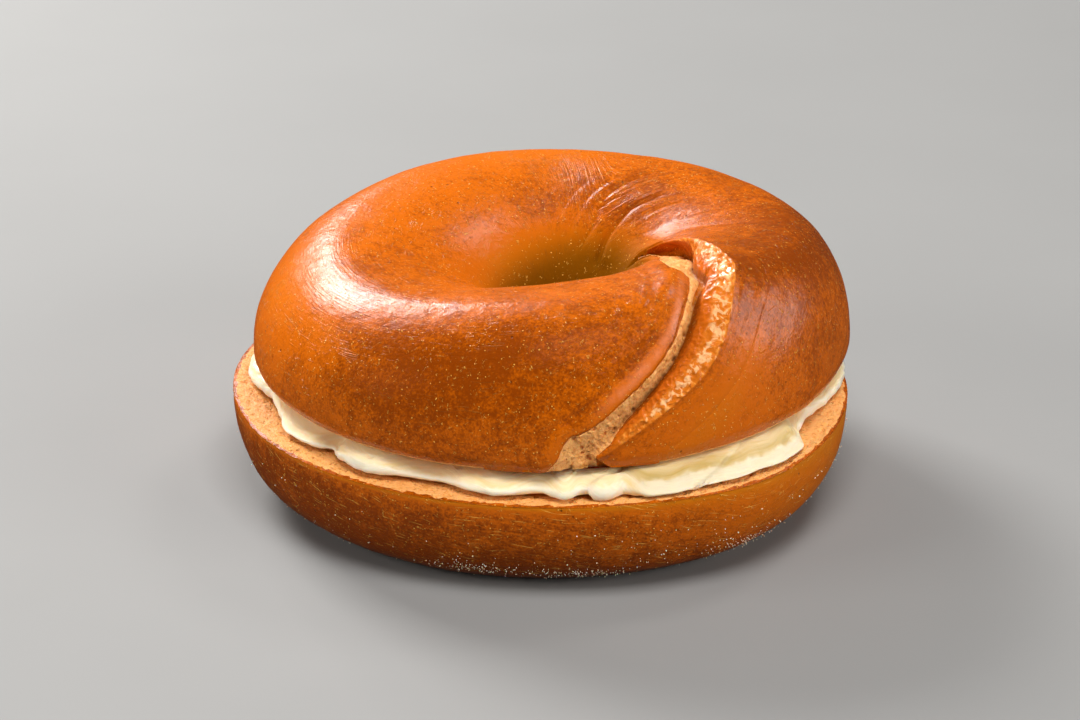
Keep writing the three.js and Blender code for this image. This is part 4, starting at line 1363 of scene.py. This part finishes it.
# Soft boxes: azimuth and elevation in degrees, distance and size in metres, power in watts, how far one
# leans about its own middle, and whether it is seen only in the colour or only in the gloss.
softBoxes = {
    "backLeftKey": {"azimuth": 127, "elevation": 31, "distance": 1.0, "size": (0.36, 0.40), "power": 15.5,
                    "colour": (1.0, 0.985, 0.96), "seen": "colour"},
    # the long highlight on the left shoulder, its strip leaning up to the left
    "leftStrip": {"azimuth": 117, "elevation": 31, "distance": 1.0, "size": (0.40, 0.22), "power": 8,
                  "lean": 22, "colour": (1.0, 0.97, 0.95), "seen": "gloss"},
    "backRightBox": {"azimuth": 42, "elevation": 53, "distance": 1.0, "size": (0.20, 0.20), "power": 1.6,
                     "colour": (1.0, 0.98, 0.95)},
    # a broad dim card for the sheen on the right flank
    "rightCard": {"azimuth": 6, "elevation": 14, "distance": 0.8, "size": (0.48, 0.34), "power": 2.7,
                  "colour": (1.0, 0.97, 0.94), "seen": "gloss"},
    "topFront": {"azimuth": -80, "elevation": 66, "distance": 0.9, "size": (0.45, 0.40), "power": 6.6,
                 "colour": (1.0, 0.99, 0.98), "seen": "colour"},
    # two fills that light the sides without showing in the gloss
    "rightFill": {"azimuth": -32, "elevation": 22, "distance": 1.0, "size": (0.5, 0.4), "power": 5.3,
                  "colour": (1.0, 0.97, 0.92), "seen": "colour"},
    "leftFill": {"azimuth": 200, "elevation": 24, "distance": 1.0, "size": (0.5, 0.4), "power": 4.1,
                 "colour": (1.0, 0.97, 0.92), "seen": "colour"},
}


# The room's own dim light, and the place in metres that the lamps are aimed at.
room = {"colour": (0.95, 0.93, 0.90, 1), "strength": 0.035, "lampsAimAt": (0, 0, 0.025)}


def makeLights():
    target = Vector(room["lampsAimAt"])
    for name, box in softBoxes.items():
        light = bpy.data.lights.new(name, "AREA")
        light.shape = "RECTANGLE"
        light.size, light.size_y = box["size"]
        light.energy = box["power"]
        light.color = box["colour"]
        lamp = bpy.data.objects.new(name, light)
        bpy.context.scene.collection.objects.link(lamp)
        turn, rise = math.radians(box["azimuth"]), math.radians(box["elevation"])
        away = Vector((math.cos(rise) * math.cos(turn), math.cos(rise) * math.sin(turn), math.sin(rise)))
        lamp.location = target + away * box["distance"]
        lean = Quaternion((0, 0, 1), math.radians(box.get("lean", 0)))
        lamp.rotation_euler = (away.to_track_quat("Z", "Y") @ lean).to_euler()
        lamp.visible_camera = False
        lamp.visible_glossy = box.get("seen") != "colour"
        lamp.visible_diffuse = box.get("seen") != "gloss"
    world = bpy.data.worlds.new("paleRoom")
    bpy.context.scene.world = world
    world.use_nodes = True
    background = world.node_tree.nodes["Background"]
    background.inputs["Color"].default_value = room["colour"]
    background.inputs["Strength"].default_value = room["strength"]
    bpy.context.scene.view_settings.view_transform = "Standard"


makeCamera()
makeFloor()
makeLights()
print("camera, floor and light made")
